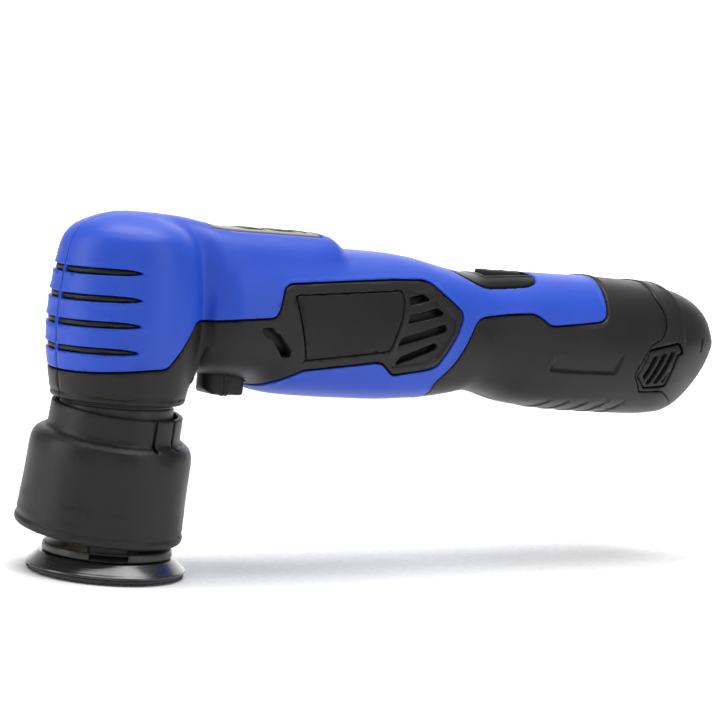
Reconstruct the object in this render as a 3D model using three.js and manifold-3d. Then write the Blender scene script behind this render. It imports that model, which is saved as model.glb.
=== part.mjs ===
// Cordless dual action polisher: head with eccentric spindle and 50 mm class pad, in-line barrel and handle,
// slide-in battery. Millimetres, +Z along the drive spindle, handle toward +X.
// Origin: where the spindle axis meets the pad's working face.
import * as THREE from 'three';
import { mergeVertices } from 'three/addons/utils/BufferGeometryUtils.js';
import Module from 'manifold-3d';

const wasm = await Module();
wasm.setup();

// ---------- driving dimensions ----------
const GAP = 0.3;            // clearance between neighbouring pieces
const HALF_SPLIT = 0.15;    // each half shell stops this far from the centre plane
const SKIN = 1.8;           // overmould thickness
const BASE_IN = 2.1;        // base shell surface under the overmould
const WALL_IN = 3.3;        // inside of the base shell
const MOTOR_Z = 85.3;       // motor axis height
const ORBIT = 1.5;          // pad axis offset (3 mm orbit)
const N_GEAR = 21, N_PINION = 7, MODULE = 9 / 7, FACE_RATIO = 0.649;
const PAD_R = 26;           // backing pad rim radius
const SHROUD_TILT = 5, SHROUD_NOD = 2; // degrees, the soft skirt sits slightly askew on its collar
const SHROUD_TOP = 53.6;    // height of the skirt's upper rim on the axis
const SLOT_Z = [98.2, 89.8, 81.7, 73.3]; // grip slots round the head, heights at their rear tips
const SWITCH_TRAVEL = 4, LOCK_TRAVEL = 2.5;
const CELL_R = 9.1, CELL_L = 65, CELL_D = 10.7; // three 18650 cells on a triangle
const STEM_X0 = 169.5, STEM_X1 = 238.5, STEM_Z = 80.3;
const SCREWS = [[24, 101.5], [22, 71.5], [72.6, 107.4], [106, 68], [138, 73]];

// barrel and handle: x, top, bottom, half width, exponent
const A = [
  [19.0, 99.0, 66.5, 12.0, 2.2], [23.0, 105.0, 64.0, 19.5, 2.4], [31.0, 109.0, 61.6, 23.6, 2.4], [45.0, 109.6, 59.2, 24.6, 2.4],
  [85.0, 109.4, 58.0, 24.8, 2.4], [100.0, 109.2, 57.8, 24.5, 2.35], [112.0, 108.3, 58.2, 23.8, 2.3], [122.0, 106.6, 58.9, 22.8, 2.3],
  [132.0, 104.7, 60.1, 22.0, 2.3], [141.0, 103.8, 61.7, 21.8, 2.3], [150.0, 104.3, 60.6, 22.3, 2.3], [162.0, 105.0, 57.6, 23.4, 2.3],
  [178.0, 105.4, 55.5, 24.1, 2.3], [200.0, 105.4, 54.4, 24.4, 2.3], [222.0, 104.9, 54.0, 24.2, 2.3], [235.0, 103.9, 54.7, 23.5, 2.25],
  [246.0, 101.0, 57.0, 20.9, 2.2], [254.5, 97.0, 61.8, 16.6, 2.15], [261.0, 91.6, 69.6, 11.0, 2.1], [265.2, 85.5, 76.5, 5.0, 2.0],
];
// head, round in plan: z, front, rear (x), half width, exponent
const B = [[55.9, 21.8], [63.0, 22.9], [71.5, 24.2], [80.5, 24.8], [90.0, 24.4], [99.0, 23.4], [104.5, 22.5], [108.3, 21.0], [111.8, 17.9],
  [113.9, 13.8], [115.6, 8.4], [117.0, 2.5]].map(([z, r]) => [z, -r, r, r, 2]);
// hood over neck and motor: x, top, bottom, half width, exponent
const C = [
  [4.0, 116.6, 64.0, 14.0, 3.0], [18.0, 115.9, 63.4, 15.0, 3.0], [26.0, 114.9, 63.4, 18.0, 3.0], [34.0, 114.6, 68.0, 19.6, 3.0],
  [62.0, 114.4, 76.0, 19.4, 3.0], [72.0, 113.8, 84.0, 17.5, 3.0], [83.0, 108.4, 92.0, 12.0, 2.6],
];
// overmould outline seen from the side (x, z)
const BLUE = [[-45, 64.6], [-21.5, 65.4], [-15.9, 66.2], [-3.5, 67.9], [2.7, 68.4], [4.4, 70.3], [8.2, 74.8], [14.6, 83.3], [21.5, 83.9], [29.5, 85.1],
  [42.4, 86.2], [43.7, 87.9], [46.2, 96], [48.9, 97.6], [69.4, 99.1], [91.7, 100.7], [107.2, 101.2], [110.4, 100.4], [124, 91.2], [124.4, 88.6],
  [121.6, 82.6], [114.4, 71.6], [111.2, 70.5], [95.7, 68.1], [89.5, 72.2], [86.9, 72.5], [58, 69], [49.6, 64.2], [47, 60], [46, 50],
  [121, 50], [119.5, 60], [117.2, 65.8], [122.9, 73.1], [127.5, 80.7], [130.4, 86.7], [132.4, 88.7], [135.8, 89.7], [150.2, 91.2],
  [157.7, 91.6], [160.2, 90.7], [164.5, 87.9], [166.4, 87.6], [182.7, 89.1], [189, 89.8], [191.8, 91.2], [192.8, 93.9], [194, 98.8],
  [195.3, 102.5], [198.2, 105.1], [200, 107], [200, 130], [-45, 130]];
// switch surround seen from above (x, y)
const BEZEL = [[136.5, -14.8], [162.5, -14.2], [168, -10.5], [172, -6], [173.6, 0], [172, 6], [168, 10.5], [162.5, 14.2], [136.5, 14.8]];
const BUTTON = [[215.2, 80.1], [229.9, 83.1], [232.4, 79.7], [229.7, 79], [227, 67.5], [226.2, 66.9], [216.1, 66], [210.6, 70.5]];
const LABEL = [[50.6, 93.8], [90.4, 96.7], [95.8, 97.1], [96.4, 94.1], [95.4, 88], [91.8, 77.9], [90.8, 76.6], [57.4, 72.7]];
// line between handle and battery (x, z), from top to bottom
const SEAM = [[226.5, 112], [224.4, 105.4], [222.2, 102.6], [221, 99], [222.8, 95], [223.2, 91.5], [222.8, 88.5], [220.8, 84.6],
  [214.8, 82], [208.6, 71.5], [214.5, 64.8], [226.5, 64.8], [234.5, 61.5], [240.5, 57.6], [241, 50]];

// ---------- helpers ----------
const solid = (g) => {
  const c = (g.index ? g : g).clone();
  for (const a of Object.keys(c.attributes)) if (a !== 'position') c.deleteAttribute(a);
  const m = mergeVertices(c, 1e-4);
  const idx = [];
  const src = m.index.array;
  for (let i = 0; i < src.length; i += 3) if (src[i] !== src[i + 1] && src[i + 1] !== src[i + 2] && src[i] !== src[i + 2]) idx.push(src[i], src[i + 1], src[i + 2]);
  let tri = new Uint32Array(idx);
  const pos = m.attributes.position.array;
  let vol = 0;
  for (let i = 0; i < tri.length; i += 3) {
    const [a, b, d] = [tri[i] * 3, tri[i + 1] * 3, tri[i + 2] * 3];
    vol += pos[a] * (pos[b + 1] * pos[d + 2] - pos[b + 2] * pos[d + 1]) - pos[a + 1] * (pos[b] * pos[d + 2] - pos[b + 2] * pos[d])
      + pos[a + 2] * (pos[b] * pos[d + 1] - pos[b + 1] * pos[d]);
  }
  if (vol < 0) for (let i = 0; i < tri.length; i += 3) [tri[i + 1], tri[i + 2]] = [tri[i + 2], tri[i + 1]];
  return new wasm.Manifold(new wasm.Mesh({ numProp: 3, vertProperties: new Float32Array(pos), triVerts: tri }));
};
const shell = (man) => {
  const m = man.getMesh();
  const g = new THREE.BufferGeometry();
  g.setAttribute('position', new THREE.BufferAttribute(new Float32Array(m.vertProperties), 3));
  g.setIndex(new THREE.BufferAttribute(new Uint32Array(m.triVerts), 1));
  g.computeVertexNormals();
  return g;
};
const box = (x0, x1, y0, y1, z0, z1) => solid(new THREE.BoxGeometry(x1 - x0, y1 - y0, z1 - z0).translate((x0 + x1) / 2, (y0 + y1) / 2, (z0 + z1) / 2));
const cylZ = (r, z0, z1, n = 24, x = 0, y = 0) => solid(new THREE.CylinderGeometry(r, r, z1 - z0, n).rotateX(Math.PI / 2).translate(x, y, (z0 + z1) / 2));
const cylX = (r, x0, x1, n = 24, y = 0, z = MOTOR_Z) => solid(new THREE.CylinderGeometry(r, r, x1 - x0, n).rotateZ(-Math.PI / 2).translate((x0 + x1) / 2, y, z));
const cylY = (r, y0, y1, n, x, z) => solid(new THREE.CylinderGeometry(r, r, y1 - y0, n).translate(x, (y0 + y1) / 2, z));
const latheGeo = (pts, n = 16) => new THREE.LatheGeometry([...pts, pts[0]].map(([r, y]) => new THREE.Vector2(r, y)), n);
const latheZ = (pts, n = 16, x = 0, y = 0) => solid(latheGeo(pts, n).rotateX(Math.PI / 2).translate(x, y, 0));
// profile given as (radius, x) round the motor axis
const latheX = (pts, n = 16, z = MOTOR_Z) => solid(latheGeo(pts, n).rotateZ(-Math.PI / 2).translate(0, 0, z));
const slab = (poly, y0 = -60, y1 = 60) => {
  const s = new THREE.Shape(poly.map(([x, z]) => new THREE.Vector2(x, z)));
  return solid(new THREE.ExtrudeGeometry(s, { depth: y1 - y0, bevelEnabled: false, steps: 1 }).rotateX(Math.PI / 2).translate(0, y1, 0));
};
const area = (p) => p.reduce((s, a, i) => { const b = p[(i + 1) % p.length]; return s + a[0] * b[1] - b[0] * a[1]; }, 0) / 2;
const grow = (poly, d) => {
  const sgn = area(poly) > 0 ? 1 : -1, n = poly.length;
  return poly.map((p, i) => {
    const a = poly[(i + n - 1) % n], b = poly[(i + 1) % n];
    const e1 = [p[0] - a[0], p[1] - a[1]], e2 = [b[0] - p[0], b[1] - p[1]];
    const l1 = Math.hypot(...e1), l2 = Math.hypot(...e2);
    const n1 = [sgn * e1[1] / l1, -sgn * e1[0] / l1], n2 = [sgn * e2[1] / l2, -sgn * e2[0] / l2];
    const m = [n1[0] + n2[0], n1[1] + n2[1]], k = Math.max(0.35, (m[0] * m[0] + m[1] * m[1]) / 2);
    return [p[0] + m[0] / k * d, p[1] + m[1] / k * d];
  });
};
const sup = (t, n) => [Math.sign(Math.cos(t)) * Math.abs(Math.cos(t)) ** (2 / n), Math.sign(Math.sin(t)) * Math.abs(Math.sin(t)) ** (2 / n)];
// closed loft: a unit cylinder whose rings are moved to the stations
const loft = (n, count, place) => solid(loftGeo(n, count, place));
const loftGeo = (n, count, place) => {
  const g = new THREE.CylinderGeometry(1, 1, 1, n, count - 1);
  const p = g.attributes.position;
  for (let i = 0; i < p.count; i++) {
    const k = Math.round((0.5 - p.getY(i)) * (count - 1));
    const rho = Math.min(1, Math.hypot(p.getX(i), p.getZ(i)));
    const v = place(k, Math.atan2(p.getZ(i), p.getX(i)), rho);
    p.setXYZ(i, ...v);
  }
  return g;
};
const inX = (rows, o) => rows.map((r, i) => [r[0] + (i === 0 ? o : i === rows.length - 1 ? -o : 0), r[1] - o, r[2] + o, r[3] - o, r[4]])
  .filter((r, i, all) => r[1] - r[2] > 1 && r[3] > 0.6);
const alongX = (rows, o, n) => {
  const s = inX(rows, o);
  return loft(n, s.length, (k, t, rho) => {
    const [x, top, bot, hy, e] = s[k], [c, d] = sup(t + Math.PI / 2, e);
    return [x, -c * hy * rho, (top + bot) / 2 + d * (top - bot) / 2 * rho];
  });
};
const headLoft = (o, n, zBot) => {
  const s = B.map((r, i) => [i === 0 ? zBot : r[0] - (i === B.length - 1 ? o : o * Math.max(0, (r[0] - 84) / 40)), r[1] + o, r[2] - o, r[3] - o, r[4]])
    .filter((r) => r[2] - r[1] > 1.5 && r[3] > 0.8);
  return loft(n, s.length, (k, t, rho) => {
    const [z, xf, xr, hy, e] = s[k], [c, d] = sup(t, e);
    return [(xf + xr) / 2 + c * (xr - xf) / 2 * rho, d * hy * rho, z];
  });
};
// crowned ridge section: share of the half width, drop below the crest
const CROWN = [[0, 0], [0.4, 2.4], [0.7, 7], [0.92, 12.4], [1, 18]];
const ridgeLoft = (o) => {
  const s = inX(C, o);
  return loft(12, s.length, (k, t, rho) => {
    const [x, top, bot, hy] = s[k], j = ((Math.round((t + Math.PI / 2) / (Math.PI / 6)) % 12) + 12) % 12;
    const q = j <= 6 ? j : 12 - j, side = j <= 6 ? 1 : -1;
    const y = q === 6 ? 0 : (q === 5 ? 1 : CROWN[q][0]) * hy * side, z = q >= 5 ? bot : Math.max(bot + 1, top - CROWN[q][1]);
    const mid = (top + bot) / 2;
    return [x, y * rho, mid + (z - mid) * rho];
  });
};
const share = (drop) => {
  for (let i = 0; i + 1 < CROWN.length; i++) if (drop < CROWN[i + 1][1]) return CROWN[i][0] + (drop - CROWN[i][1]) / (CROWN[i + 1][1] - CROWN[i][1]) * (CROWN[i + 1][0] - CROWN[i][0]);
  return 1;
};
const body = (o, na = 16, nb = 16) => alongX(A, o, na).add(headLoft(o, nb, B[0][0] + (o > 3 ? -2 : 0))).add(ridgeLoft(o));
const halfWidth = (x, z) => {
  let w = 0;
  for (const rows of [A, C]) for (let i = 0; i + 1 < rows.length; i++) if (x >= rows[i][0] && x <= rows[i + 1][0]) {
    const t = (x - rows[i][0]) / (rows[i + 1][0] - rows[i][0]), m = rows[i].map((v, j) => v + (rows[i + 1][j] - v) * t);
    const q = Math.abs((z - (m[1] + m[2]) / 2) / ((m[1] - m[2]) / 2));
    if (q < 1) w = Math.max(w, rows === C ? m[3] * share(m[1] - z) : m[3] * (1 - q ** m[4]) ** (1 / m[4]));
  }
  return w;
};

// ---------- shells ----------
const S0 = body(0), S18 = body(SKIN), S21 = body(BASE_IN), S33 = body(WALL_IN);
const beyond = (d) => slab(grow([...SEAM, [290, 50], [290, 112]], d));           // battery side of the seam
const headSlots = SLOT_Z.map((z) => slab([[-40, z - 3.2], [-12, z - 1.35], [-9.2, z], [-12, z + 0.95], [-40, z - 0.9]]));
const bezelZone = (d) => solid(new THREE.ExtrudeGeometry(new THREE.Shape(grow(BEZEL, d).map(([x, y]) => new THREE.Vector2(x, y))), { depth: 25, bevelEnabled: false, steps: 1 }).translate(0, 0, 98));
const panelCut = (g) => box(25 - g, 68.5 + g, -8.6 - g, 8.6 + g, 107, 125);
const blueZone = slab(BLUE);
let blue = S0.subtract(S18).intersect(blueZone).subtract(bezelZone(GAP)).subtract(panelCut(GAP)).subtract(beyond(GAP));
blue = blue.subtract(box(23.9, 43.8, -7, 7, 50, 70));
for (const s of headSlots) blue = blue.subtract(s.subtract(body(1.5)));
const keep = (man, x0, x1, y0, y1, z0, z1) => man.intersect(box(x0, x1, y0, y1, z0, z1));
const largest = (man) => man.decompose().sort((a, b) => b.volume() - a.volume())[0];

let base = S0.subtract(slab(grow(BLUE, GAP))).add(S21).subtract(S33).subtract(beyond(0));
// pocket floors for bezel and control panel
base = base.subtract(bezelZone(GAP).subtract(S21)).subtract(panelCut(GAP).subtract(S21));
// motor ribs, lock spring rib and screw bosses
for (const x of [74]) base = base.add(box(x, x + 2, -40, 40, 55, 104).intersect(S21).subtract(cylX(17.7, x - 1, x + 3, 16)));
base = base.add(box(24.5, 37.5, -40, 40, 73.3, 74.6).intersect(S21));
for (const [x, z] of SCREWS) base = base.add(cylY(3, -30, 30, 6, x, z).intersect(S21));
base = base.subtract(cylZ(17.65, 50, 63, 20)).subtract(cylZ(2.4, 72, 76, 10, 31, 0));
base = base.subtract(box(26.5, 45.8, -6.3, 6.3, 50, 70));
base = base.subtract(cylX(11.0, 14, 24, 16));
base = base.subtract(box(145.4, 153.2, -2.2, 2.2, 96, 112));
base = base.subtract(box(40, 49.6, -5.3, 5.3, 108, 116)).subtract(box(51.7, 62.1, -5.3, 5.3, 108, 116));
// side vents and label pockets
const vents = [slab([[38, 82.9], [41.8, 83.2], [44.9, 81.1], [50.5, 75.6], [50.7, 73.7], [47.8, 73.5], [40.8, 79.7], [38.8, 80.8]]),
  slab([[99.3, 95], [108.8, 96.6], [108.8, 94.2], [99.3, 92.6]]), slab([[98.6, 88.9], [114.9, 92.2], [114.9, 89.8], [98.6, 86.5]]),
  slab([[95.9, 81.1], [116.3, 86.4], [116.3, 84], [95.9, 78.7]]), slab([[97.7, 74.3], [112, 79.4], [112, 77], [97.7, 71.9]])];
for (const v of vents) base = base.subtract(v.subtract(body(4.6)));
base = base.subtract(slab(grow(LABEL, GAP)).subtract(body(1.2)));
const labels = body(0.3).subtract(body(0.9)).intersect(slab(LABEL));
// screw holes: thread side in the left half, shank and head pocket in the right half
const screwIn = SCREWS.map(([x, z]) => -Math.min(9, halfWidth(x, z) - 9));
const screwY = SCREWS.map(([x, z]) => Math.floor((halfWidth(x, z) - 4.2) * 10) / 10);
SCREWS.forEach(([x, z], i) => {
  base = base.subtract(cylY(1.6, screwIn[i] - 0.5, 30, 6, x, z)).subtract(cylY(3.2, screwY[i] - 2.4, 40, 10, x, z));
  blue = blue.subtract(cylY(3.2, 3, 40, 10, x, z));
});
const leftHalf = box(-60, 290, -60, -HALF_SPLIT, 20, 140), rightHalf = box(-60, 290, HALF_SPLIT, 60, 20, 140);

// ---------- scene ----------
const group = new THREE.Group();
const colours = { blue: 0x2f55cf, black: 0x2c2a2b, steel: 0xb8bcc2, alu: 0xa9adb2, rubber: 0x252424, gloss: 0x0d0d10, grey: 0x9a9ca0,
  copper: 0xb5683a, brass: 0xc2a04a, green: 0x1f6b3a, cell: 0x2a8f7c, hook: 0x1b1b1c };
const finish = { blue: [0.55, 0], black: [0.6, 0], steel: [0.3, 1], alu: [0.45, 0.9], rubber: [0.75, 0], gloss: [0.12, 0], grey: [0.4, 0.3],
  copper: [0.35, 0.9], brass: [0.3, 0.9], green: [0.5, 0], cell: [0.4, 0], hook: [0.95, 0] };
const put = (name, man, colour, where = [0, 0, 0]) => {
  const mesh = new THREE.Mesh(shell(man.translate([-where[0], -where[1], -where[2]])),
    new THREE.MeshStandardMaterial({ color: colours[colour], roughness: finish[colour][0], metalness: finish[colour][1] }));
  mesh.name = name;
  mesh.position.set(...where);
  group.add(mesh);
};

put('housing_left', largest(base.intersect(leftHalf)), 'black');
put('housing_right', largest(base.intersect(rightHalf)), 'black');
put('overmould_left', largest(blue.intersect(leftHalf)), 'blue');
put('overmould_right', largest(blue.intersect(rightHalf)), 'blue');
put('label_plate_left', largest(labels.intersect(leftHalf)), 'gloss');
put('label_plate_right', largest(labels.intersect(rightHalf)), 'gloss');
SCREWS.forEach(([x, z], i) => put(`housing_screw_${i + 1}`,
  cylY(1.1, screwIn[i], screwY[i] - 1.9, 6, x, z).add(cylY(2.8, screwY[i] - 2.0, screwY[i], 12, x, z)).subtract(cylY(1.2, screwY[i] - 1.2, screwY[i] + 1, 6, x, z)), 'steel'));

// control panel, buttons and board
const panel = body(-0.2).subtract(body(1.8)).intersect(box(25, 68.5, -8.6, 8.6, 107, 125))
  .subtract(box(40, 49.6, -5.3, 5.3, 100, 125)).subtract(box(51.7, 62.1, -5.3, 5.3, 100, 125)).subtract(box(64.2, 66.6, -5.3, 5.3, 100, 125));
put('control_panel', largest(panel), 'grey');
put('speed_down_button', box(40.3, 49.3, -5, 5, 108.8, 115.3), 'black', [44.8, 0, 114]);
put('speed_up_button', box(52, 61.8, -5, 5, 108.8, 115.3), 'black', [57, 0, 114]);
put('panel_indicator', box(64.5, 66.3, -5, 5, 112.4, 114.5), 'gloss');
put('control_board', box(31, 63.5, -6.4, 6.4, 106.6, 108.0), 'green');

// sliding switch
const bez = body(-0.2).subtract(body(1.8)).intersect(bezelZone(0)).subtract(box(145.2, 166.9, -6.8, 6.8, 90, 120));
put('switch_bezel', largest(bez), 'black');
put('switch_knob', box(149.6, 166.5, -6.5, 6.5, 103.4, 106.3).subtract(cylY(12, -9, 9, 28, 158, 117.2)), 'black', [158, 0, 104]);
put('switch_rod', box(150.2, 152.8, -1.8, 1.8, 96.4, 103.1), 'black', [151.5, 0, 100]);
put('microswitch', box(128.5, 144.8, -5, 5, 89.6, 97.6), 'black');
put('terminal_block', box(149, 162.4, -10, 10, 73, 87).subtract(box(152, 163, -3, 3, 78, 82)), 'grey');

// gear case, collar and bearings
const gearCase = latheZ([[6, 56.2], [17.2, 56.2], [17.2, 94.5], [13.2, 99.6], [0, 99.6], [0, 97.8], [8.3, 97.8], [8.3, 91.8], [10.5, 91.8], [10.5, 94.6],
  [14.7, 92.4], [14.7, 67], [11.3, 67], [11.3, 58.2], [6, 58.2]], 20).add(cylX(10.6, 15.6, 23.4, 16)).subtract(cylX(8.3, 10, 24, 16));
put('gear_case', gearCase, 'alu');
put('nose_collar', latheZ([[6, 44.4], [18.6, 44.4], [18.6, 55.9], [6, 55.9]], 22), 'alu');
const bearing = (ro, ri, a, b) => [[ri, a], [ro, a], [ro, b], [ri, b]];
put('spindle_bearing_upper', latheZ(bearing(8, 4.3, 91.9, 97.4), 18), 'steel');
put('spindle_bearing_lower', latheZ(bearing(11, 4.3, 58.5, 66.5), 18), 'steel');
put('pinion_bearing', latheX(bearing(8, 2.8, 17.6, 23), 20), 'steel');

// spindle, bevel gear, eccentric
put('spindle_shaft', cylZ(4, 34.3, 97.5, 20), 'steel');
const rG = MODULE * N_GEAR / 2, rP = MODULE * N_PINION / 2, coneL = Math.hypot(rG, rP);
// toothed cone: each ring alternates root, tip, tip, root; rings scale toward the apex
const bevel = (n, rPitch, hPitch, phase, a, b, wTip, wRoot, backH) => {
  const g = [rPitch / coneL, hPitch / coneL], nn = [g[1], -g[0]];
  const tip = [rPitch + nn[0] * a, hPitch + nn[1] * a], root = [rPitch - nn[0] * b, hPitch - nn[1] * b];
  return loftGeo(n * 4, 2, (k, t, rho) => {
    const j = ((Math.round(t / (2 * Math.PI) * n * 4) % (n * 4)) + n * 4) % (n * 4), q = j % 4, f = k === 0 ? FACE_RATIO : 1;
    if (rho < 0.5) return [0, 0, -(k === 0 ? root[1] * f : backH)];
    const p = q === 1 || q === 2 ? tip : root, off = [-wRoot, -wTip, wTip, wRoot][q] / 2 / rPitch;
    const ang = (Math.floor(j / 4) + phase) * 2 * Math.PI / n + off;
    return [p[0] * f * Math.cos(ang), p[0] * f * Math.sin(ang), -p[1] * f];
  });
};
const gear = solid(bevel(N_GEAR, rG, rP, 0, 0.8, 1.2, 0.75, 1.75, 8).translate(0, 0, MOTOR_Z)).add(cylZ(5.8, 66.9, 80, 16)).subtract(cylZ(4.3, 60, 90, 16));
put('driven_bevel_gear', gear, 'steel');
put('drive_pinion', solid(bevel(N_PINION, rP, rG, 0, 0.8, 1.25, 0.75, 1.75, 14.2).rotateY(-Math.PI / 2).translate(0, 0, MOTOR_Z)), 'steel');

let hub = cylZ(11, 24.2, 34, 20).subtract(cylZ(8.4, 20, 31, 16, 0, -ORBIT));
put('eccentric_hub', hub, 'steel');
let weight = latheZ([[11.3, 25], [19, 25], [19, 33], [11.3, 33]], 20).intersect(box(-30, 30, 2, 30, 20, 40));
put('counterweight', weight, 'brass');
put('pad_bearing', latheZ(bearing(8, 3.3, 24.4, 30.6), 20, 0, -ORBIT), 'steel');

// pad body
put('pad_spindle', latheZ([[0, 30.3], [3, 30.3], [3, 23.6], [6.4, 23.6], [6.4, 14.4], [3.2, 14.4], [3.2, 20.4], [0, 20.4]], 24, 0, -ORBIT), 'steel');
put('plate_stud', latheZ([[0, 20], [2.9, 20], [2.9, 9.6], [5.6, 9.6], [5.6, 7.4], [0, 7.4]], 20, 0, -ORBIT), 'steel');
let plate = latheZ([[3.2, 14.1], [8.4, 14.1], [9.4, 11.4], [17.5, 9.3], [20.9, 8.6], [21.2, 6.3], [3.2, 6.3], [3.2, 7.1], [5.9, 7.1], [5.9, 9.9], [3.2, 9.9]], 24, 0, -ORBIT);
for (let i = 0; i < 6; i++) {
  const c = new THREE.BoxGeometry(7, 6.6, 8).translate(15.6, 0, 7.5 + 3).rotateZ((i + 0.3) * Math.PI / 3).translate(0, -ORBIT, 0);
  plate = plate.subtract(solid(c).subtract(cylZ(30, 0, 7.6, 24)));
}
put('backing_plate', plate, 'gloss');
put('backing_pad', latheZ([[0, 1.5], [25.7, 1.5], [26, 1.9], [26, 2.3], [24.2, 3.3], [22.6, 4.6], [21.5, 6], [0, 6]], 32, 0, -ORBIT), 'gloss');
put('hook_disc', cylZ(25.7, 0, 1.2, 32, 0, -ORBIT), 'hook');

// skirt round the eccentric
const skirt = latheGeo([[21.4, -0.2], [21.5, -7.6], [25.3, -10.4], [26.3, -12.8], [26.8, -34], [27.3, -36.4], [27.4, -39.6], [26.7, -41.2],
  [25.7, -41.2], [25.2, -34], [24.6, -13.4], [19.8, -8.8], [19.6, -0.2]], 24).rotateX(Math.PI / 2);
skirt.rotateX(SHROUD_TILT * Math.PI / 180).rotateY(SHROUD_NOD * Math.PI / 180).translate(0.25, -0.35, SHROUD_TOP);
put('shroud', solid(skirt), 'rubber');

// motor
put('motor_can', latheX([[5, 46], [17.3, 46], [17.3, 92], [16, 92], [16, 47.8], [5, 47.8]]), 'steel');
put('motor_end_bell', latheX([[7.5, 92.3], [17.3, 92.3], [17.3, 96.5], [11, 100], [5, 100], [5, 96.2], [7.5, 96.2]]), 'black');
put('motor_bearing_front', latheX(bearing(4.7, 2.8, 45.2, 48.2), 16), 'steel');
put('motor_bearing_rear', latheX(bearing(4.7, 2.8, 96.4, 99.8), 16), 'steel');
const magnet = latheX([[12.3, 53], [15.7, 53], [15.7, 88], [12.3, 88]]);
put('motor_magnet_left', magnet.intersect(box(40, 98, -20, -3, 60, 110)), 'black');
put('motor_magnet_right', magnet.intersect(box(40, 98, 3, 20, 60, 110)), 'black');
put('motor_shaft', cylX(2.5, 14.5, 99.4, 16), 'steel');
let arm = cylX(11.6, 54, 87, 18).subtract(cylX(2.8, 50, 90, 10));
for (let i = 0; i < 6; i++) arm = arm.subtract(solid(new THREE.BoxGeometry(50, 1.6, 6).translate(70, 0, 10.4).rotateX((i + 0.5) * Math.PI / 3).translate(0, 0, MOTOR_Z)));
put('armature', arm, 'copper');
put('commutator', latheX([[2.8, 88.4], [6, 88.4], [6, 94.6], [4.2, 94.6], [4.2, 96], [2.8, 96]], 14), 'copper');
let fan = latheX([[2.8, 37.6], [5.4, 37.6], [6.2, 43], [2.8, 43]], 12);
for (let i = 0; i < 7; i++) fan = fan.add(solid(new THREE.BoxGeometry(4.6, 1.1, 9).rotateZ(0.5).translate(40.3, 0, 9.4).rotateX(i * 2 * Math.PI / 7).translate(0, 0, MOTOR_Z)));
put('cooling_fan', fan, 'black');
let ring = latheX([[2.8, 28.4], [8, 28.4], [8, 33.6], [2.8, 33.6]], 18);
for (let i = 0; i < 6; i++) ring = ring.subtract(solid(new THREE.BoxGeometry(8, 4.6, 3).translate(31, 0, -7.6).rotateX(i * Math.PI / 3).translate(0, 0, MOTOR_Z)));
put('lock_ring', ring, 'steel');

// spindle lock under the neck
put('lock_button', box(26.8, 45.5, -6, 6, 58.7, 66.8).add(box(28.8, 41.5, -7, 7, 66.7, 67.5)), 'black', [36, 0, 62]);
put('lock_pin', cylZ(2, 67.8, 74.6, 10, 31, 0), 'steel', [31, 0, 70]);
class Helix extends THREE.Curve {
  getPoint(t, out = new THREE.Vector3()) {
    const a = t * Math.PI * 2 * 3.2;
    return out.set(31 + 3.4 * Math.cos(a), 3.4 * Math.sin(a), 68.4 + 4.1 * t);
  }
}
const wire = new THREE.Shape();
wire.absarc(0, 0, 0.42, 0, Math.PI * 2);
put('lock_spring', solid(new THREE.ExtrudeGeometry(wire, { steps: 24, curveSegments: 3, extrudePath: new Helix(), bevelEnabled: false })), 'steel');

// battery
const lobe = (r, x0, x1) => {
  let m = null;
  for (let i = 0; i < 3; i++) {
    const a = Math.PI / 2 + i * 2 * Math.PI / 3;
    const c = cylX(r, x0, x1, 16, CELL_D * Math.cos(a), STEM_Z + CELL_D * Math.sin(a));
    m = m ? m.add(c) : c;
  }
  return m;
};
const core = latheX([[0, 0], [12, 0], [12, 1], [0, 1]].map(([r, x]) => [r, x ? STEM_X1 : STEM_X0]), 12, STEM_Z);
const stem = lobe(CELL_R + 1, STEM_X0, STEM_X1).add(core).subtract(lobe(CELL_R + GAP, STEM_X0 + 1.4, STEM_X1 + 2));
put('battery_case', largest(stem), 'black', [200, 0, 80]);
for (let i = 0; i < 3; i++) {
  const a = Math.PI / 2 + i * 2 * Math.PI / 3, y = CELL_D * Math.cos(a), z = STEM_Z + CELL_D * Math.sin(a), x0 = STEM_X0 + 1.9;
  put(`battery_cell_${i + 1}`, cylX(CELL_R, x0, x0 + CELL_L, 14, y, z), 'cell', [x0 + 30, y, z]);
}
const cap = S0.subtract(body(1.5)).intersect(beyond(-GAP)).subtract(slab(grow(BUTTON, GAP)));
put('battery_cap', largest(cap), 'black', [240, 0, 80]);
const btn = body(-0.5).subtract(body(1.5)).intersect(slab(BUTTON));
put('release_button_left', largest(btn.intersect(leftHalf)), 'black', [221, -23, 75]);
put('release_button_right', largest(btn.intersect(rightHalf)), 'black', [221, 23, 75]);

export default group;
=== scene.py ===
"""Looks for the cordless dual action polisher. Works in millimetres inside, metres for Blender."""
import math

import bmesh
import bpy
import numpy as np
import openvdb as vdb
from mathutils import Matrix, Vector


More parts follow.
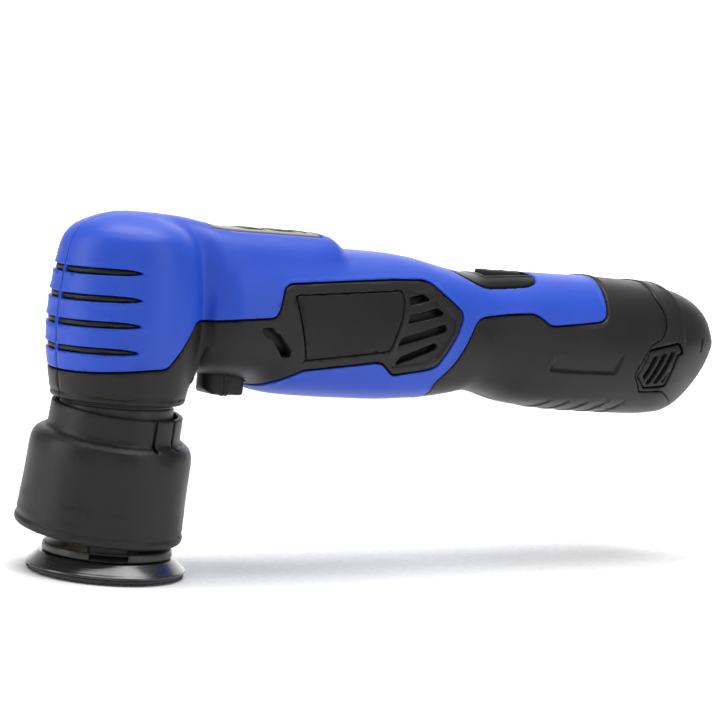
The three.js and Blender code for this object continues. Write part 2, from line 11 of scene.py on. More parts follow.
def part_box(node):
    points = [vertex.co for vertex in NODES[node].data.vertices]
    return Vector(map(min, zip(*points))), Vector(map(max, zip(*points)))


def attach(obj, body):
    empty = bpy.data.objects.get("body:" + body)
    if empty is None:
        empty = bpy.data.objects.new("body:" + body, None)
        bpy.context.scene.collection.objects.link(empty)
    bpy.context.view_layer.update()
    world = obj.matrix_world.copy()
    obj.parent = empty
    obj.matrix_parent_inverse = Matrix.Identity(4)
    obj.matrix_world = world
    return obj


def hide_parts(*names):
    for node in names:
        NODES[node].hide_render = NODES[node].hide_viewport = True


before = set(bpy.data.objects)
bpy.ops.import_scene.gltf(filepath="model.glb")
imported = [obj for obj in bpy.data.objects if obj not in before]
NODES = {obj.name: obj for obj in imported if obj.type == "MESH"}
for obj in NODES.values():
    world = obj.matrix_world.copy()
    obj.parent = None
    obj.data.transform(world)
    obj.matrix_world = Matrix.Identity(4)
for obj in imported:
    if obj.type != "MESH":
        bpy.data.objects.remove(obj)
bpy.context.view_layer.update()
VOX = 0.42
F32 = np.float32
rng = np.random.default_rng(7)


def nbox(node):
    lo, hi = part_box(node)
    return np.array(lo) * 1000, np.array(hi) * 1000


# ------------------------------------------------------------------ curves and 2-D distances
def curve(xs, ys):
    xs, ys = np.array(xs, float), np.array(ys, float)
    h = np.diff(xs)
    d = np.diff(ys) / h
    m = np.zeros_like(ys)
    for i in range(1, len(xs) - 1):
        if d[i - 1] * d[i] > 0:
            m[i] = 3 * (h[i - 1] + h[i]) / ((2 * h[i] + h[i - 1]) / d[i - 1] + (h[i] + 2 * h[i - 1]) / d[i])
    m[0], m[-1] = d[0], d[-1]

    def f(x):
        x = np.clip(np.asarray(x, float), xs[0], xs[-1])
        i = np.clip(np.searchsorted(xs, x) - 1, 0, len(xs) - 2)
        t = (x - xs[i]) / h[i]
        return ((1 + 2 * t) * (1 - t) ** 2 * ys[i] + t * (1 - t) ** 2 * h[i] * m[i]
                + t * t * (3 - 2 * t) * ys[i + 1] + t * t * (t - 1) * h[i] * m[i + 1])
    return f


def soften(a, passes):
    a = a.astype(float)
    for _ in range(passes):
        b = a.copy()
        b[1:-1] = (a[:-2] + 2 * a[1:-1] + a[2:]) / 4
        a = b.copy()
        a[:, 1:-1] = (b[:, :-2] + 2 * b[:, 1:-1] + b[:, 2:]) / 4
    return a


def sd_poly(poly, a, b, radius=0.0):
    """Signed distance to a closed polygon on the grid a x b, negative inside; radius softens its corners."""
    P = np.array(poly, float)
    A, B = a[:, None], b[None, :]
    d = np.full((a.size, b.size), 1e9)
    ins = np.zeros((a.size, b.size), bool)
    for i in range(len(P)):
        p, q = P[i], P[(i + 1) % len(P)]
        e = q - p
        t = np.clip(((A - p[0]) * e[0] + (B - p[1]) * e[1]) / max(e @ e, 1e-9), 0, 1)
        d = np.minimum(d, (A - p[0] - t * e[0]) ** 2 + (B - p[1] - t * e[1]) ** 2)
        c = ((p[1] <= B) & (q[1] > B)) | ((q[1] <= B) & (p[1] > B))
        xi = p[0] + (B - p[1]) * e[0] / (e[1] if abs(e[1]) > 1e-9 else 1e-9)
        ins ^= c & (A < xi)
    s = np.where(ins, -1, 1) * np.sqrt(d)
    if radius:
        s = soften(s, max(1, int(round(2 * (radius / (a[1] - a[0])) ** 2))))
    return s.astype(F32)


def sd_open(line, a, b):
    """Distance to an open polyline."""
    P = np.array(line, float)
    A, B = a[:, None], b[None, :]
    d = np.full((a.size, b.size), 1e9)
    for p, q in zip(P[:-1], P[1:]):
        e = q - p
        t = np.clip(((A - p[0]) * e[0] + (B - p[1]) * e[1]) / (e @ e), 0, 1)
        d = np.minimum(d, (A - p[0] - t * e[0]) ** 2 + (B - p[1] - t * e[1]) ** 2)
    return np.sqrt(d).astype(F32)


def smin(a, b, k):
    h = np.maximum(k - np.abs(a - b), 0) / k
    return np.minimum(a, b) - h * h * k * 0.25


def smax(a, b, k):
    h = np.maximum(k - np.abs(a - b), 0) / k
    return np.maximum(a, b) + h * h * k * 0.25


def step(lo, hi, x):
    t = np.clip((x - lo) / (hi - lo), 0, 1)
    return t * t * (3 - 2 * t)


# ------------------------------------------------------------------ meshes
def obj_from(name, verts, faces, normals=None, smooth=True):
    me = bpy.data.meshes.new(name)
    me.from_pydata(verts, [], faces)
    me.validate(clean_customdata=False)
    if smooth:
        me.shade_smooth()
    if normals is not None and len(normals) == len(me.vertices):
        me.normals_split_custom_set_from_vertices(normals)
    o = bpy.data.objects.new(name, me)
    bpy.context.scene.collection.objects.link(o)
    return o


def sample(f, p):
    i = np.clip(np.floor(p).astype(int), 0, np.array(f.shape) - 2)
    t = np.clip(p - i, 0, 1)
    out = 0
    for dx in (0, 1):
        for dy in (0, 1):
            for dz in (0, 1):
                w = (t[:, 0] if dx else 1 - t[:, 0]) * (t[:, 1] if dy else 1 - t[:, 1]) * (t[:, 2] if dz else 1 - t[:, 2])
                out = out + w * f[i[:, 0] + dx, i[:, 1] + dy, i[:, 2] + dz]
    return out


def mesh_field(name, f, X, Y, Z, adapt=0.12, mirror=False, keep_inside=None):
    """Surface where f crosses zero, with normals taken from f's own gradient."""
    f = np.array(np.ascontiguousarray(f, dtype=F32), order="C")
    for s in ((0,), (-1,)):
        f[s[0], :, :] = np.maximum(f[s[0], :, :], 0.2)
        f[:, s[0], :] = np.maximum(f[:, s[0], :], 0.2)
        f[:, :, s[0]] = np.maximum(f[:, :, s[0]], 0.2)
    vx = X[1] - X[0]
    np.clip(f, -4 * vx, 4 * vx, out=f)
    g = vdb.FloatGrid(float(4 * vx))
    g.copyFromArray(f)
    pts, tris, quads = g.convertToPolygons(isovalue=0.0, adaptivity=adapt)
    h = 0.6
    n = np.stack([sample(f, pts + np.eye(3)[k] * h) - sample(f, pts - np.eye(3)[k] * h) for k in range(3)], 1)
    n /= np.maximum(np.linalg.norm(n, axis=1), 1e-6)[:, None]
    v = pts * vx + np.array([X[0], Y[0], Z[0]])
    if mirror:
        v[:, 1] *= -1
        n[:, 1] *= -1
    faces = [tuple(t) for t in tris.tolist()] + [tuple(q) for q in quads.tolist()]
    # orientation: first faces' normals against the gradient
    k = min(4000, len(faces))
    pick = [faces[i] for i in np.linspace(0, len(faces) - 1, k).astype(int)]
    a = v[[q[0] for q in pick]]
    b = v[[q[1] for q in pick]]
    c = v[[q[2] for q in pick]]
    if (np.cross(b - a, c - a) * n[[q[0] for q in pick]]).sum() < 0:
        faces = [t[::-1] for t in faces]
    o = obj_from(name, (v * 0.001).tolist(), faces, n.tolist())
    print("mesh", name, len(v), len(faces))
    return o


def lathe(name, profile, n=160, centre=(0, 0, 0), tilt=None, sharp=None):
    """Closed turned body round Z; profile is (radius, height), listed once round."""
    P = np.array(profile, float)
    verts, faces = [], []
    m = len(P)
    for i in range(n):
        a = 2 * math.pi * i / n
        for r, z in P:
            verts.append((r * math.cos(a), r * math.sin(a), z))
    for i in range(n):
        j = (i + 1) % n
        for k in range(m):
            l = (k + 1) % m
            faces.append((i * m + k, j * m + k, j * m + l, i * m + l))
    bm = bmesh.new()
    bv = [bm.verts.new(v) for v in verts]
    for q in faces:
        bm.faces.new([bv[i] for i in q])
    bmesh.ops.remove_doubles(bm, verts=bm.verts, dist=1e-4)
    bmesh.ops.recalc_face_normals(bm, faces=bm.faces)
    for fc in bm.faces:
        fc.smooth = True
    for e in bm.edges:
        if len(e.link_faces) == 2 and e.calc_face_angle(0) > math.radians(sharp or 38):
            e.smooth = False
    me = bpy.data.meshes.new(name)
    bm.transform((tilt or Matrix.Identity(4)))
    bm.transform(Matrix.Translation(centre))
    bm.transform(Matrix.Scale(0.001, 4))
    bm.to_mesh(me)
    bm.free()
    o = bpy.data.objects.new(name, me)
    bpy.context.scene.collection.objects.link(o)
    return o


def rounded(profile, r=0.4, steps=3):
    """Rounds every corner of a closed profile."""
    P = np.array(profile, float)
    out = []
    for i in range(len(P)):
        p, a, b = P[i], P[i - 1], P[(i + 1) % len(P)]
        u, w = a - p, b - p
        lu, lw = np.linalg.norm(u), np.linalg.norm(w)
        if lu < 1e-6 or lw < 1e-6 or (abs(p[0]) < 1e-6):
            out.append(tuple(p))
            continue
        c = min(r, lu * 0.45, lw * 0.45)
        s, e = p + u / lu * c, p + w / lw * c
        for k in range(steps + 1):
            t = k / steps
            out.append(tuple((1 - t) ** 2 * s + 2 * t * (1 - t) * p + t * t * e))
    return out


# ------------------------------------------------------------------ materials
def tree(name):
    m = bpy.data.materials.new(name)
    m.use_nodes = True
    nt = m.node_tree
    for n in list(nt.nodes):
        if n.type not in ("BSDF_PRINCIPLED", "OUTPUT_MATERIAL"):
            nt.nodes.remove(n)
    return m, nt, nt.nodes["Principled BSDF"]


def plastic(name, base, vary, rough=(0.45, 0.6), grain=2600.0, bump=0.12, coat=0.0, coat_rough=0.2, metallic=0.0, sheen=0.0,
            cloud=70.0, spec=0.5, dust=0.0, wear=None, aniso=0.0):
    """Moulded or machined surface: two-scale colour drift, roughness drift and a fine bump grain, all in object space."""
    m, nt, b = tree(name)
    N, L = nt.nodes, nt.links
    tc = N.new("ShaderNodeTexCoord")
    big = N.new("ShaderNodeTexNoise")
    big.inputs["Scale"].default_value = cloud
    big.inputs["Detail"].default_value = 4
    L.new(tc.outputs["Object"], big.inputs["Vector"])
    fine = N.new("ShaderNodeTexNoise")
    fine.inputs["Scale"].default_value = grain
    fine.inputs["Detail"].default_value = 3
    fine.inputs["Roughness"].default_value = 0.6
    L.new(tc.outputs["Object"], fine.inputs["Vector"])
    ramp = N.new("ShaderNodeMix")
    ramp.data_type = "RGBA"
    ramp.inputs["A"].default_value = (*base, 1)
    ramp.inputs["B"].default_value = (*vary, 1)
    amt = N.new("ShaderNodeMapRange")
    amt.inputs["From Min"].default_value = 0.3
    amt.inputs["From Max"].default_value = 0.7
    L.new(big.outputs["Fac"], amt.inputs["Value"])
    L.new(amt.outputs["Result"], ramp.inputs["Factor"])
    colour = ramp.outputs["Result"]
    speck = N.new("ShaderNodeMix")
    speck.data_type = "RGBA"
    speck.blend_type = "MULTIPLY"
    sp = N.new("ShaderNodeMapRange")
    sp.inputs["From Min"].default_value = 0.25
    sp.inputs["From Max"].default_value = 0.75
    sp.inputs["To Min"].default_value = 0.86
    sp.inputs["To Max"].default_value = 1.1
    L.new(fine.outputs["Fac"], sp.inputs["Value"])
    speck.inputs["Factor"].default_value = 0.6
    L.new(colour, speck.inputs["A"])
    comb = N.new("ShaderNodeCombineColor")
    for c in ("Red", "Green", "Blue"):
        L.new(sp.outputs["Result"], comb.inputs[c])
    L.new(comb.outputs["Color"], speck.inputs["B"])
    colour = speck.outputs["Result"]
    if wear is not None:
        geo = N.new("ShaderNodeNewGeometry")
        edge = N.new("ShaderNodeMapRange")
        edge.inputs["From Min"].default_value = 0.54
        edge.inputs["From Max"].default_value = 0.62
        L.new(geo.outputs["Pointiness"], edge.inputs["Value"])
        mul = N.new("ShaderNodeMath")
        mul.operation = "MULTIPLY"
        L.new(edge.outputs["Result"], mul.inputs[0])
        L.new(amt.outputs["Result"], mul.inputs[1])
        w = N.new("ShaderNodeMix")
        w.data_type = "RGBA"
        L.new(mul.outputs["Value"], w.inputs["Factor"])
        L.new(colour, w.inputs["A"])
        w.inputs["B"].default_value = (*wear, 1)
        colour = w.outputs["Result"]
    L.new(colour, b.inputs["Base Color"])
    r = N.new("ShaderNodeMapRange")
    r.inputs["From Min"].default_value = 0.3
    r.inputs["From Max"].default_value = 0.7
    r.inputs["To Min"].default_value = rough[0]
    r.inputs["To Max"].default_value = rough[1]
    mixn = N.new("ShaderNodeMath")
    mixn.operation = "ADD"
    half = N.new("ShaderNodeMath")
    half.operation = "MULTIPLY"
    half.inputs[1].default_value = 0.5
    L.new(big.outputs["Fac"], mixn.inputs[0])
    L.new(fine.outputs["Fac"], mixn.inputs[1])
    L.new(mixn.outputs["Value"], half.inputs[0])
    L.new(half.outputs["Value"], r.inputs["Value"])
    L.new(r.outputs["Result"], b.inputs["Roughness"])
    if bump:
        bp = N.new("ShaderNodeBump")
        bp.inputs["Strength"].default_value = bump
        bp.inputs["Distance"].default_value = 0.0002
        L.new(fine.outputs["Fac"], bp.inputs["Height"])
        L.new(bp.outputs["Normal"], b.inputs["Normal"])
    b.inputs["Metallic"].default_value = metallic
    b.inputs["Coat Weight"].default_value = coat
    b.inputs["Coat Roughness"].default_value = coat_rough
    b.inputs["Sheen Weight"].default_value = sheen
    b.inputs["Specular IOR Level"].default_value = spec
    return m


def brushed(name, base, vary, axis="Z", rough=(0.22, 0.4), scale=260.0, stretch=0.02, metallic=1.0, bump=0.05):
    """Turned or brushed metal: noise stretched round or along one axis."""
    m, nt, b = tree(name)
    N, L = nt.nodes, nt.links
    tc = N.new("ShaderNodeTexCoord")
    mp = N.new("ShaderNodeMapping")
    s = [1.0, 1.0, 1.0]
    s["XYZ".index(axis)] = 1.0
    for i in range(3):
        if "XYZ"[i] != axis:
            s[i] = stretch
    mp.inputs["Scale"].default_value = s
    L.new(tc.outputs["Object"], mp.inputs["Vector"])
    n = N.new("ShaderNodeTexNoise")
    n.inputs["Scale"].default_value = scale * 20
    n.inputs["Detail"].default_value = 4
    L.new(mp.outputs["Vector"], n.inputs["Vector"])
    c = N.new("ShaderNodeTexNoise")
    c.inputs["Scale"].default_value = 90
    c.inputs["Detail"].default_value = 3
    L.new(tc.outputs["Object"], c.inputs["Vector"])
    mix = N.new("ShaderNodeMix")
    mix.data_type = "RGBA"
    mix.inputs["A"].default_value = (*base, 1)
    mix.inputs["B"].default_value = (*vary, 1)
    L.new(c.outputs["Fac"], mix.inputs["Factor"])
    L.new(mix.outputs["Result"], b.inputs["Base Color"])
    r = N.new("ShaderNodeMapRange")
    r.inputs["To Min"].default_value = rough[0]
    r.inputs["To Max"].default_value = rough[1]
    L.new(n.outputs["Fac"], r.inputs["Value"])
    L.new(r.outputs["Result"], b.inputs["Roughness"])
    bp = N.new("ShaderNodeBump")
    bp.inputs["Strength"].default_value = bump
    bp.inputs["Distance"].default_value = 0.0001
    L.new(n.outputs["Fac"], bp.inputs["Height"])
    L.new(bp.outputs["Normal"], b.inputs["Normal"])
    b.inputs["Metallic"].default_value = metallic
    return m


M = {
    "charcoal": plastic("charcoal_moulded", (0.0085, 0.0078, 0.0078), (0.0120, 0.0108, 0.0105), (0.36, 0.52), 2300, 0.22, cloud=45, spec=0.22),
    "blue": plastic("blue_soft_touch", (0.009, 0.052, 0.415), (0.012, 0.060, 0.45), (0.40, 0.52), 2900, 0.12, cloud=38, sheen=0.0, spec=0.34),
    "label": plastic("label_satin_black", (0.0065, 0.0065, 0.007), (0.0095, 0.0095, 0.010), (0.34, 0.46), 3400, 0.16, cloud=55, spec=0.18),
    "panel": plastic("panel_silver_film", (0.085, 0.082, 0.080), (0.115, 0.110, 0.106), (0.32, 0.44), 4200, 0.05, cloud=60, metallic=0.15, spec=0.3),
    # switch surround: satin black, base colour set at about half the housing black as painted shade on this top-facing
    # part
    "surround": plastic("surround_satin_painted_shade", (0.0040, 0.0037, 0.0039), (0.0058, 0.0054, 0.0056), (0.30, 0.40), 2300, 0.16, cloud=60, spec=0.06),
    "button": plastic("button_rubber", (0.010, 0.0095, 0.010), (0.014, 0.013, 0.0135), (0.42, 0.56), 2600, 0.2, spec=0.28),
    # skirt: rubber, with its base colour set darker than the housing black as painted shade
    "skirt": plastic("skirt_rubber", (0.0070, 0.0066, 0.0068), (0.0110, 0.0102, 0.0102), (0.34, 0.50), 1700, 0.3, cloud=60, spec=0.26),
    "collar": plastic("collar_coated", (0.020, 0.0195, 0.020), (0.032, 0.031, 0.031), (0.34, 0.48), 2000, 0.25, cloud=120, metallic=0.2, spec=0.3),
    "gloss": plastic("pad_gloss_black", (0.009, 0.0088, 0.0092), (0.0125, 0.0122, 0.0126), (0.20, 0.30), 1500, 0.02, coat=0.4, coat_rough=0.16, cloud=90),
    "plate": plastic("backing_plate_black", (0.018, 0.017, 0.016), (0.026, 0.025, 0.024), (0.28, 0.40), 1900, 0.08, cloud=100, spec=0.35),
    "hook": plastic("hook_nylon", (0.010, 0.010, 0.011), (0.028, 0.027, 0.028), (0.55, 0.8), 5200, 0.4, sheen=0.3),
    "cast": plastic("die_cast_aluminium", (0.50, 0.51, 0.53), (0.62, 0.63, 0.65), (0.38, 0.52), 1400, 0.25, metallic=1.0, cloud=130),
    "steel": brushed("ground_steel", (0.52, 0.53, 0.55), (0.66, 0.67, 0.69)),
    "steel_x": brushed("drawn_steel_can", (0.45, 0.46, 0.48), (0.62, 0.63, 0.65), axis="X", rough=(0.28, 0.46)),
    "brass": brushed("turned_brass", (0.62, 0.43, 0.14), (0.74, 0.54, 0.20), rough=(0.25, 0.4)),
    "copper": plastic("enamelled_copper", (0.46, 0.16, 0.06), (0.62, 0.25, 0.10), (0.25, 0.4), 1500, 0.5, metallic=0.85, cloud=240),
    "ferrite": plastic("sintered_ferrite", (0.035, 0.035, 0.038), (0.06, 0.06, 0.064), (0.55, 0.75), 1200, 0.4, cloud=150),
    "board": plastic("solder_mask", (0.010, 0.10, 0.035), (0.016, 0.15, 0.055), (0.25, 0.4), 700, 0.3, cloud=300),
    "cell": plastic("cell_sleeve", (0.02, 0.22, 0.17), (0.03, 0.27, 0.21), (0.18, 0.3), 900, 0.05, cloud=50),
    "spring": brushed("spring_wire", (0.5, 0.5, 0.52), (0.65, 0.65, 0.67), rough=(0.2, 0.35)),
}


def finish_with(o, mat, body=None, *replaces, slot=None):
    o.data.materials.clear()
    o.data.materials.append(M[mat])
    if body:
        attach(o, body)
    if replaces:
        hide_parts(*replaces)
    return o


# ------------------------------------------------------------------ the body's form
TIP = 263.0
T_TOP = curve([19, 23, 31, 45, 85, 100, 112, 122, 132, 141, 150, 162, 178, 200, 222], [99, 105, 109, 109.6, 109.4, 109.2, 108.3, 106.6, 104.8, 103.9, 104.3, 105, 105.4, 105.4, 104.9])
T_BOT = curve([19, 23, 31, 43, 47.5, 52, 60, 85, 100, 112, 122, 132, 141, 150, 162, 178, 200, 222], [67.0, 65.8, 65.1, 63.9, 62.3, 60.0, 58.9, 58, 57.8, 58.2, 58.9, 60.1, 61.7, 60.6, 57.6, 55.5, 54.4, 54])
T_WID = curve([19, 23, 31, 45, 85, 100, 112, 122, 132, 141, 150, 162, 178, 200, 222], [12, 19.5, 23.6, 24.6, 24.8, 24.5, 23.8, 22.8, 22, 21.8, 22.3, 23.4, 24.1, 24.4, 24.2])
T_MID = curve([19, 31, 85, 112, 141, 178, 222], [84.5, 85, 83.8, 83.2, 82.2, 81, 81])
T_EXP = curve([19, 60, 100, 140, 222], [2.25, 2.4, 2.35, 2.3, 2.3])
H_TOP = curve([0, 4, 12, 18, 26, 34, 62, 70, 73.3, 75.4, 77.6, 80, 82.3, 86, 92], [116.9, 116.9, 116.75, 116.3, 115.1, 114.4, 114.3, 114.3, 114.0, 113.2, 112.0, 110.5, 108.9, 106.2, 102])
H_WID = curve([0, 4, 15, 19, 26, 34, 62, 72, 80, 86, 92], [13.6, 14, 14.4, 15.4, 19.0, 20.4, 20.2, 19.2, 16.5, 13.5, 11])
HEAD_SIDE = curve([55.9, 62, 70, 80.5, 90, 99, 104.5, 108, 110.2], [21.6, 22.7, 24.0, 24.8, 24.4, 23.4, 22.5, 21.2, 19.6])
HEAD_CROWN = curve([-2.8, 0, 2.8, 6.5, 10, 13.8, 17.6, 19.6], [116.85, 117.0, 116.85, 116.3, 115.4, 113.9, 111.9, 110.2])

X = np.arange(-30.0, 268.2, VOX)
Y = np.arange(-27.2, 1.4, VOX)
Z = np.arange(52.6, 119.0, VOX)
x3, y3, z3 = X[:, None, None].astype(F32), Y[None, :, None].astype(F32), Z[None, None, :].astype(F32)


def barrel(X, Y, Z):
    x = X[:, None, None]
    W, E, Cn, T, Bo = T_WID(X), T_EXP(X), T_MID(X), T_TOP(X), T_BOT(X)
    ay = np.abs(Y)[None, :]
    a = ((ay / W[:, None]) ** E[:, None])[:, :, None]
    dz = Z[None, :] - Cn[:, None]
    H = np.where(dz > 0, (T - Cn)[:, None], (Cn - Bo)[:, None])
    b = ((np.abs(dz) / H) ** E[:, None])[:, None, :]
    g = np.power((a + b).astype(F32), (1 / E)[:, None, None].astype(F32))
    u = np.clip((X - 222) / (TIP - 222), 0, None)[:, None, None].astype(F32)
    # the end dome is fuller underneath than on top
    p = np.where(Z > 81, 2.5, 2.5 + 0.2 * step(81, 66, Z))[None, None, :].astype(F32)
    i = X > 222
    g[i] = np.power(np.power(u[i], p) + np.power(g[i], p), 1 / p)
    gx, gy, gz = np.gradient(g, X[1] - X[0], Y[1] - Y[0], Z[1] - Z[0])
    d = (g - 1) / np.maximum(np.sqrt(gx * gx + gy * gy + gz * gz), 1e-3)
    return np.maximum(d, (19.3 - x).astype(F32))


def turned(profile, X, Y, Z, rmax, cx=0.0, cy=0.0):
    """Distance to a body turned round Z from a closed (r, z) profile."""
    rs = np.arange(0, rmax, (X[1] - X[0]) * 0.6)
    tab = sd_poly([(-r, z) for r, z in reversed(profile)] + list(profile), rs, Z).astype(F32)
    r = np.sqrt((X[:, None] - cx) ** 2 + (Y[None, :] - cy) ** 2) / (rs[1] - rs[0])
    i = np.clip(np.floor(r).astype(int), 0, len(rs) - 2)
    t = np.clip(r - i, 0, 1)[:, :, None].astype(F32)
    return tab[i] * (1 - t) + tab[i + 1] * t


def body_field(X, Y, Z):
    D = barrel(X, Y, Z)
    zs = np.linspace(56.8, 110.2, 100)
    rr = np.linspace(19.6, 0, 50)
    prof = [(0, 55.9), (20.6, 55.9), (21.3, 56.15)] + [(float(HEAD_SIDE(z)), float(z)) for z in zs] + [(float(r), float(HEAD_CROWN(r))) for r in rr[1:]]
    i = X < 60
    head = turned(prof, X[i], Y, Z, 66)
    hx = X[i | (X < 96)]
    j = X < 96
    wc, tp = H_WID(X[j]), H_TOP(X[j])
    s = (np.abs(Y)[None, :] / wc[:, None])[:, :, None]
    t = np.maximum((Z[None, :] - (tp - 18)[:, None]) / 18, 0)[:, None, :]
    Fh = (s ** 3.1 + t ** 1.65).astype(F32)
    gx, gy, gz = np.gradient(Fh, X[1] - X[0], Y[1] - Y[0], Z[1] - Z[0])
    hood = (Fh - 1) / np.maximum(np.sqrt(gx * gx + gy * gy + gz * gz), 2e-3)
    low = np.clip(63.6 + (X[j] - 18.5) * 4, 63.6, 90)[:, None, None]
    hood = np.maximum(hood, (low - Z[None, None, :]).astype(F32))
    hood = np.maximum(hood, np.maximum(X[j][:, None, None] - 91, 1.0 - X[j][:, None, None]).astype(F32))
    D[j] = smin(D[j], hood, 1.2)
    D[i] = smin(D[i], head, 1.8)
    return D


D = body_field(X, Y, Z)
end = X > 224
fct = ((x3[end] - 0.92 * z3) - (197.6 - 29 * (np.abs(y3) / 22.5) ** 2)) / 1.5
D[end] = smax(D[end], fct.astype(F32), 6.5)
D = np.maximum(D, z3 - 116.9)

# outlines seen from the side (x, z); switch surround from above (x, y)
BLUE = [[-45, 64.6], [-21.5, 65.4], [-15.9, 66.2], [-3.5, 67.9], [2.7, 68.4], [4.4, 70.3], [8.2, 74.8], [14.6, 83.3], [21.5, 83.9], [29.5, 85.1],
        [42.4, 86.2], [43.7, 87.9], [46.2, 96], [48.9, 97.6], [69.4, 99.1], [91.7, 100.7], [107.2, 101.2], [110.4, 100.4], [124, 91.2], [124.4, 88.6],
        [121.6, 82.6], [114.4, 71.6], [111.2, 70.5], [95.7, 68.1], [89.5, 72.2], [86.9, 72.5], [58, 69], [49.6, 64.2], [47, 60], [46, 50],
        [121, 50], [119.5, 60], [117.2, 65.8], [122.9, 73.1], [127.5, 80.7], [130.4, 86.7], [132.4, 88.7], [135.8, 89.7], [150.2, 91.2],
        [157.7, 91.6], [160.2, 90.7], [164.5, 87.9], [166.4, 87.6], [182.7, 89.1], [189, 89.8], [191.8, 91.2], [192.8, 93.9], [194, 98.8],
        [195.3, 102.5], [198.2, 105.1], [200, 107], [200, 130], [-45, 130]]
BEZEL = [[128.6, 0], [129.2, -6], [130.6, -9.8], [133, -11.9], [135.5, -13.5], [138.7, -14.5], [159.5, -14.5], [164.3, -12.6], [166.8, -8.8], [168.6, -4.4],
         [169.2, 0], [168.6, 4.4], [166.8, 8.8], [164.3, 12.6], [159.5, 14.5], [138.7, 14.5], [135.5, 13.5], [133, 11.9], [130.6, 9.8], [129.2, 6]]
BUTTON = [[215.2, 80.1], [229.9, 83.1], [232.4, 79.7], [229.7, 79], [227, 67.5], [226.2, 66.9], [216.1, 66], [210.6, 70.5]]
LABEL = [[50.6, 93.8], [90.4, 96.7], [95.8, 97.1], [96.4, 94.1], [95.4, 88], [91.8, 77.9], [90.8, 76.6], [57.4, 72.7]]
SEAM = [[226.5, 112], [224.4, 105.4], [222.2, 102.6], [221, 99], [222.8, 95], [223.2, 91.5], [222.8, 88.5], [220.8, 84.6],
        [214.8, 82], [208.6, 71.5], [214.5, 64.4], [226.5, 64.8], [234.5, 61.5], [240.5, 57.6], [241, 50]]
GRILLE_FIELD = [[98.3, 98], [108.5, 97.2], [120.6, 88.6], [119.6, 83.2], [113.4, 74.6], [109, 72.9], [94.4, 70.9], [93, 72.5], [93.6, 76.8], [97.4, 88], [98.4, 94.2]]
VENT = [[38, 82.9], [41.8, 83.2], [43, 81.6], [44.9, 81.1], [50.5, 75.6], [50.7, 73.7], [47.8, 73.5], [42.2, 79.4], [40.8, 79.7], [38.8, 80.8]]
SLOTS = [[[99.6, 95.2], [106.4, 96.4], [109.6, 94.4], [99.2, 92.4]], [[99.6, 89.2], [112.4, 92.0], [115.4, 90.4], [114.4, 89.4], [98.2, 86.1]],
         [[96.8, 81.5], [116.2, 86.6], [117.4, 84.4], [116.2, 83.7], [94.9, 78.3]], [[97.2, 74.9], [111.2, 79.9], [113.4, 79.4], [111.8, 77.3], [95.4, 71.7]]]

blueP = sd_poly(BLUE, X, Z, 0.9)[:, None, :]
batP = sd_poly(SEAM + [[290, 50], [290, 112]], X, Z, 0.7)[:, None, :]
bezP = sd_poly(BEZEL, X, Y, 0.8)[:, :, None]
bezZ = np.maximum(bezP, 97 - z3)
qx, qy = np.abs(X - 46.9) - 22.6 + 1.6, np.abs(Y) - 9.6 + 1.6
panP = (np.hypot(np.maximum(qx, 0)[:, None], np.maximum(qy, 0)[None, :]) + np.minimum(np.maximum(qx[:, None], qy[None, :]), 0) - 1.6)[:, :, None].astype(F32)
panZ = np.maximum(panP, 107 - z3)
butP = sd_poly(BUTTON, X, Z, 0.5)[:, None, :]
labP = sd_poly(LABEL, X, Z, 0.5)[:, None, :]

# soft overmould, stopping short of the seams, with a proud lip along them
zone = np.maximum(np.maximum(blueP, -bezZ), np.maximum(-panZ, -batP))
Db = D - 0.24 * step(-1.7, -0.7, blueP) * (X[:, None, None] > -9).astype(F32)
SLOT_Z = (98.2, 89.8, 81.7, 73.3)
slot2 = np.full((X.size, Z.size), 50, F32)
for z0 in SLOT_Z:
    s = sd_poly([[-40, z0 - 3.1], [-24, z0 - 2.0], [-17, z0 - 1.5], [-12, z0 - 1.15], [-9, z0 - 0.65], [-6.9, z0 - 0.2], [-8.5, z0 + 0.35], [-12, z0 + 0.75], [-17, z0 + 0.7], [-24, z0 + 0.15], [-40, z0 - 0.9]], X, Z, 0.15)
    slot2 = np.minimum(slot2, s)
slot3 = slot2[:, None, :]
lipr = 0.22 * step(1.5, 0.3, slot3) * (X[:, None, None] < -4)
over = smax(Db - lipr, -(D + 1.8), 0.3)
over = smax(over, zone + 0.2, 0.6)
bridge = 0.28 - np.abs(y3 + 0.4)
over = smax(over, -np.maximum(slot3, bridge), 0.4)
part = y3 + 0.03 + 0.08 * step(106, 98, Z)[None, None, :]
over = smax(over, part, 0.3)

# hard housing: features cut into or raised from its outer skin
feat = np.zeros((X.size, 1, Z.size), F32)
rear_lip = 0.6 * step(0.25, 0.55, blueP) * step(1.7, 1.2, blueP) * step(176, 186, X)[:, None, None]
gril = sd_poly(GRILLE_FIELD, X, Z, 0.35)[:, None, :]
feat = feat + 0.75 * step(0.35, -0.45, gril)
feat = feat + 1.05 * step(0.45, 0.15, labP)
textP = sd_poly([[167.0, 71.6], [198.9, 71.0], [201.2, 78.4], [167.6, 77.3]], X, Z, 0.25)[:, None, :]
feat = feat + (0.62 * step(0.15, -0.35, textP) * step(78.6, 72.0, Z)[None, None, :])
ledP = sd_poly([[131.6, 84.5], [156.5, 86.3], [161.5, 88.3], [160, 91.5], [130, 90]], X, Z, 0.5)[:, None, :]
feat = feat + 0.4 * step(0.3, -0.5, ledP)
gr2 = sd_open([(108.9, 72.2), (114.0, 74.2), (120.4, 83.1), (121.4, 88.7), (109.2, 97.7)], X, Z)[:, None, :]
feat = feat - 0.28 * step(1.3, 0.3, gr2)
groove = sd_open([(168.0, 73.4), (167.3, 71.8), (198.8, 71.2), (201.0, 78.2)], X, Z)[:, None, :]
feat = feat + 0.55 * step(0.62, 0.2, groove)
feat = feat - rear_lip
feat = feat + (0.5 * np.exp(-((Z[None, :] - 58.2) / 0.45) ** 2) * step(19, 14, X)[:, None])[:, None, :]
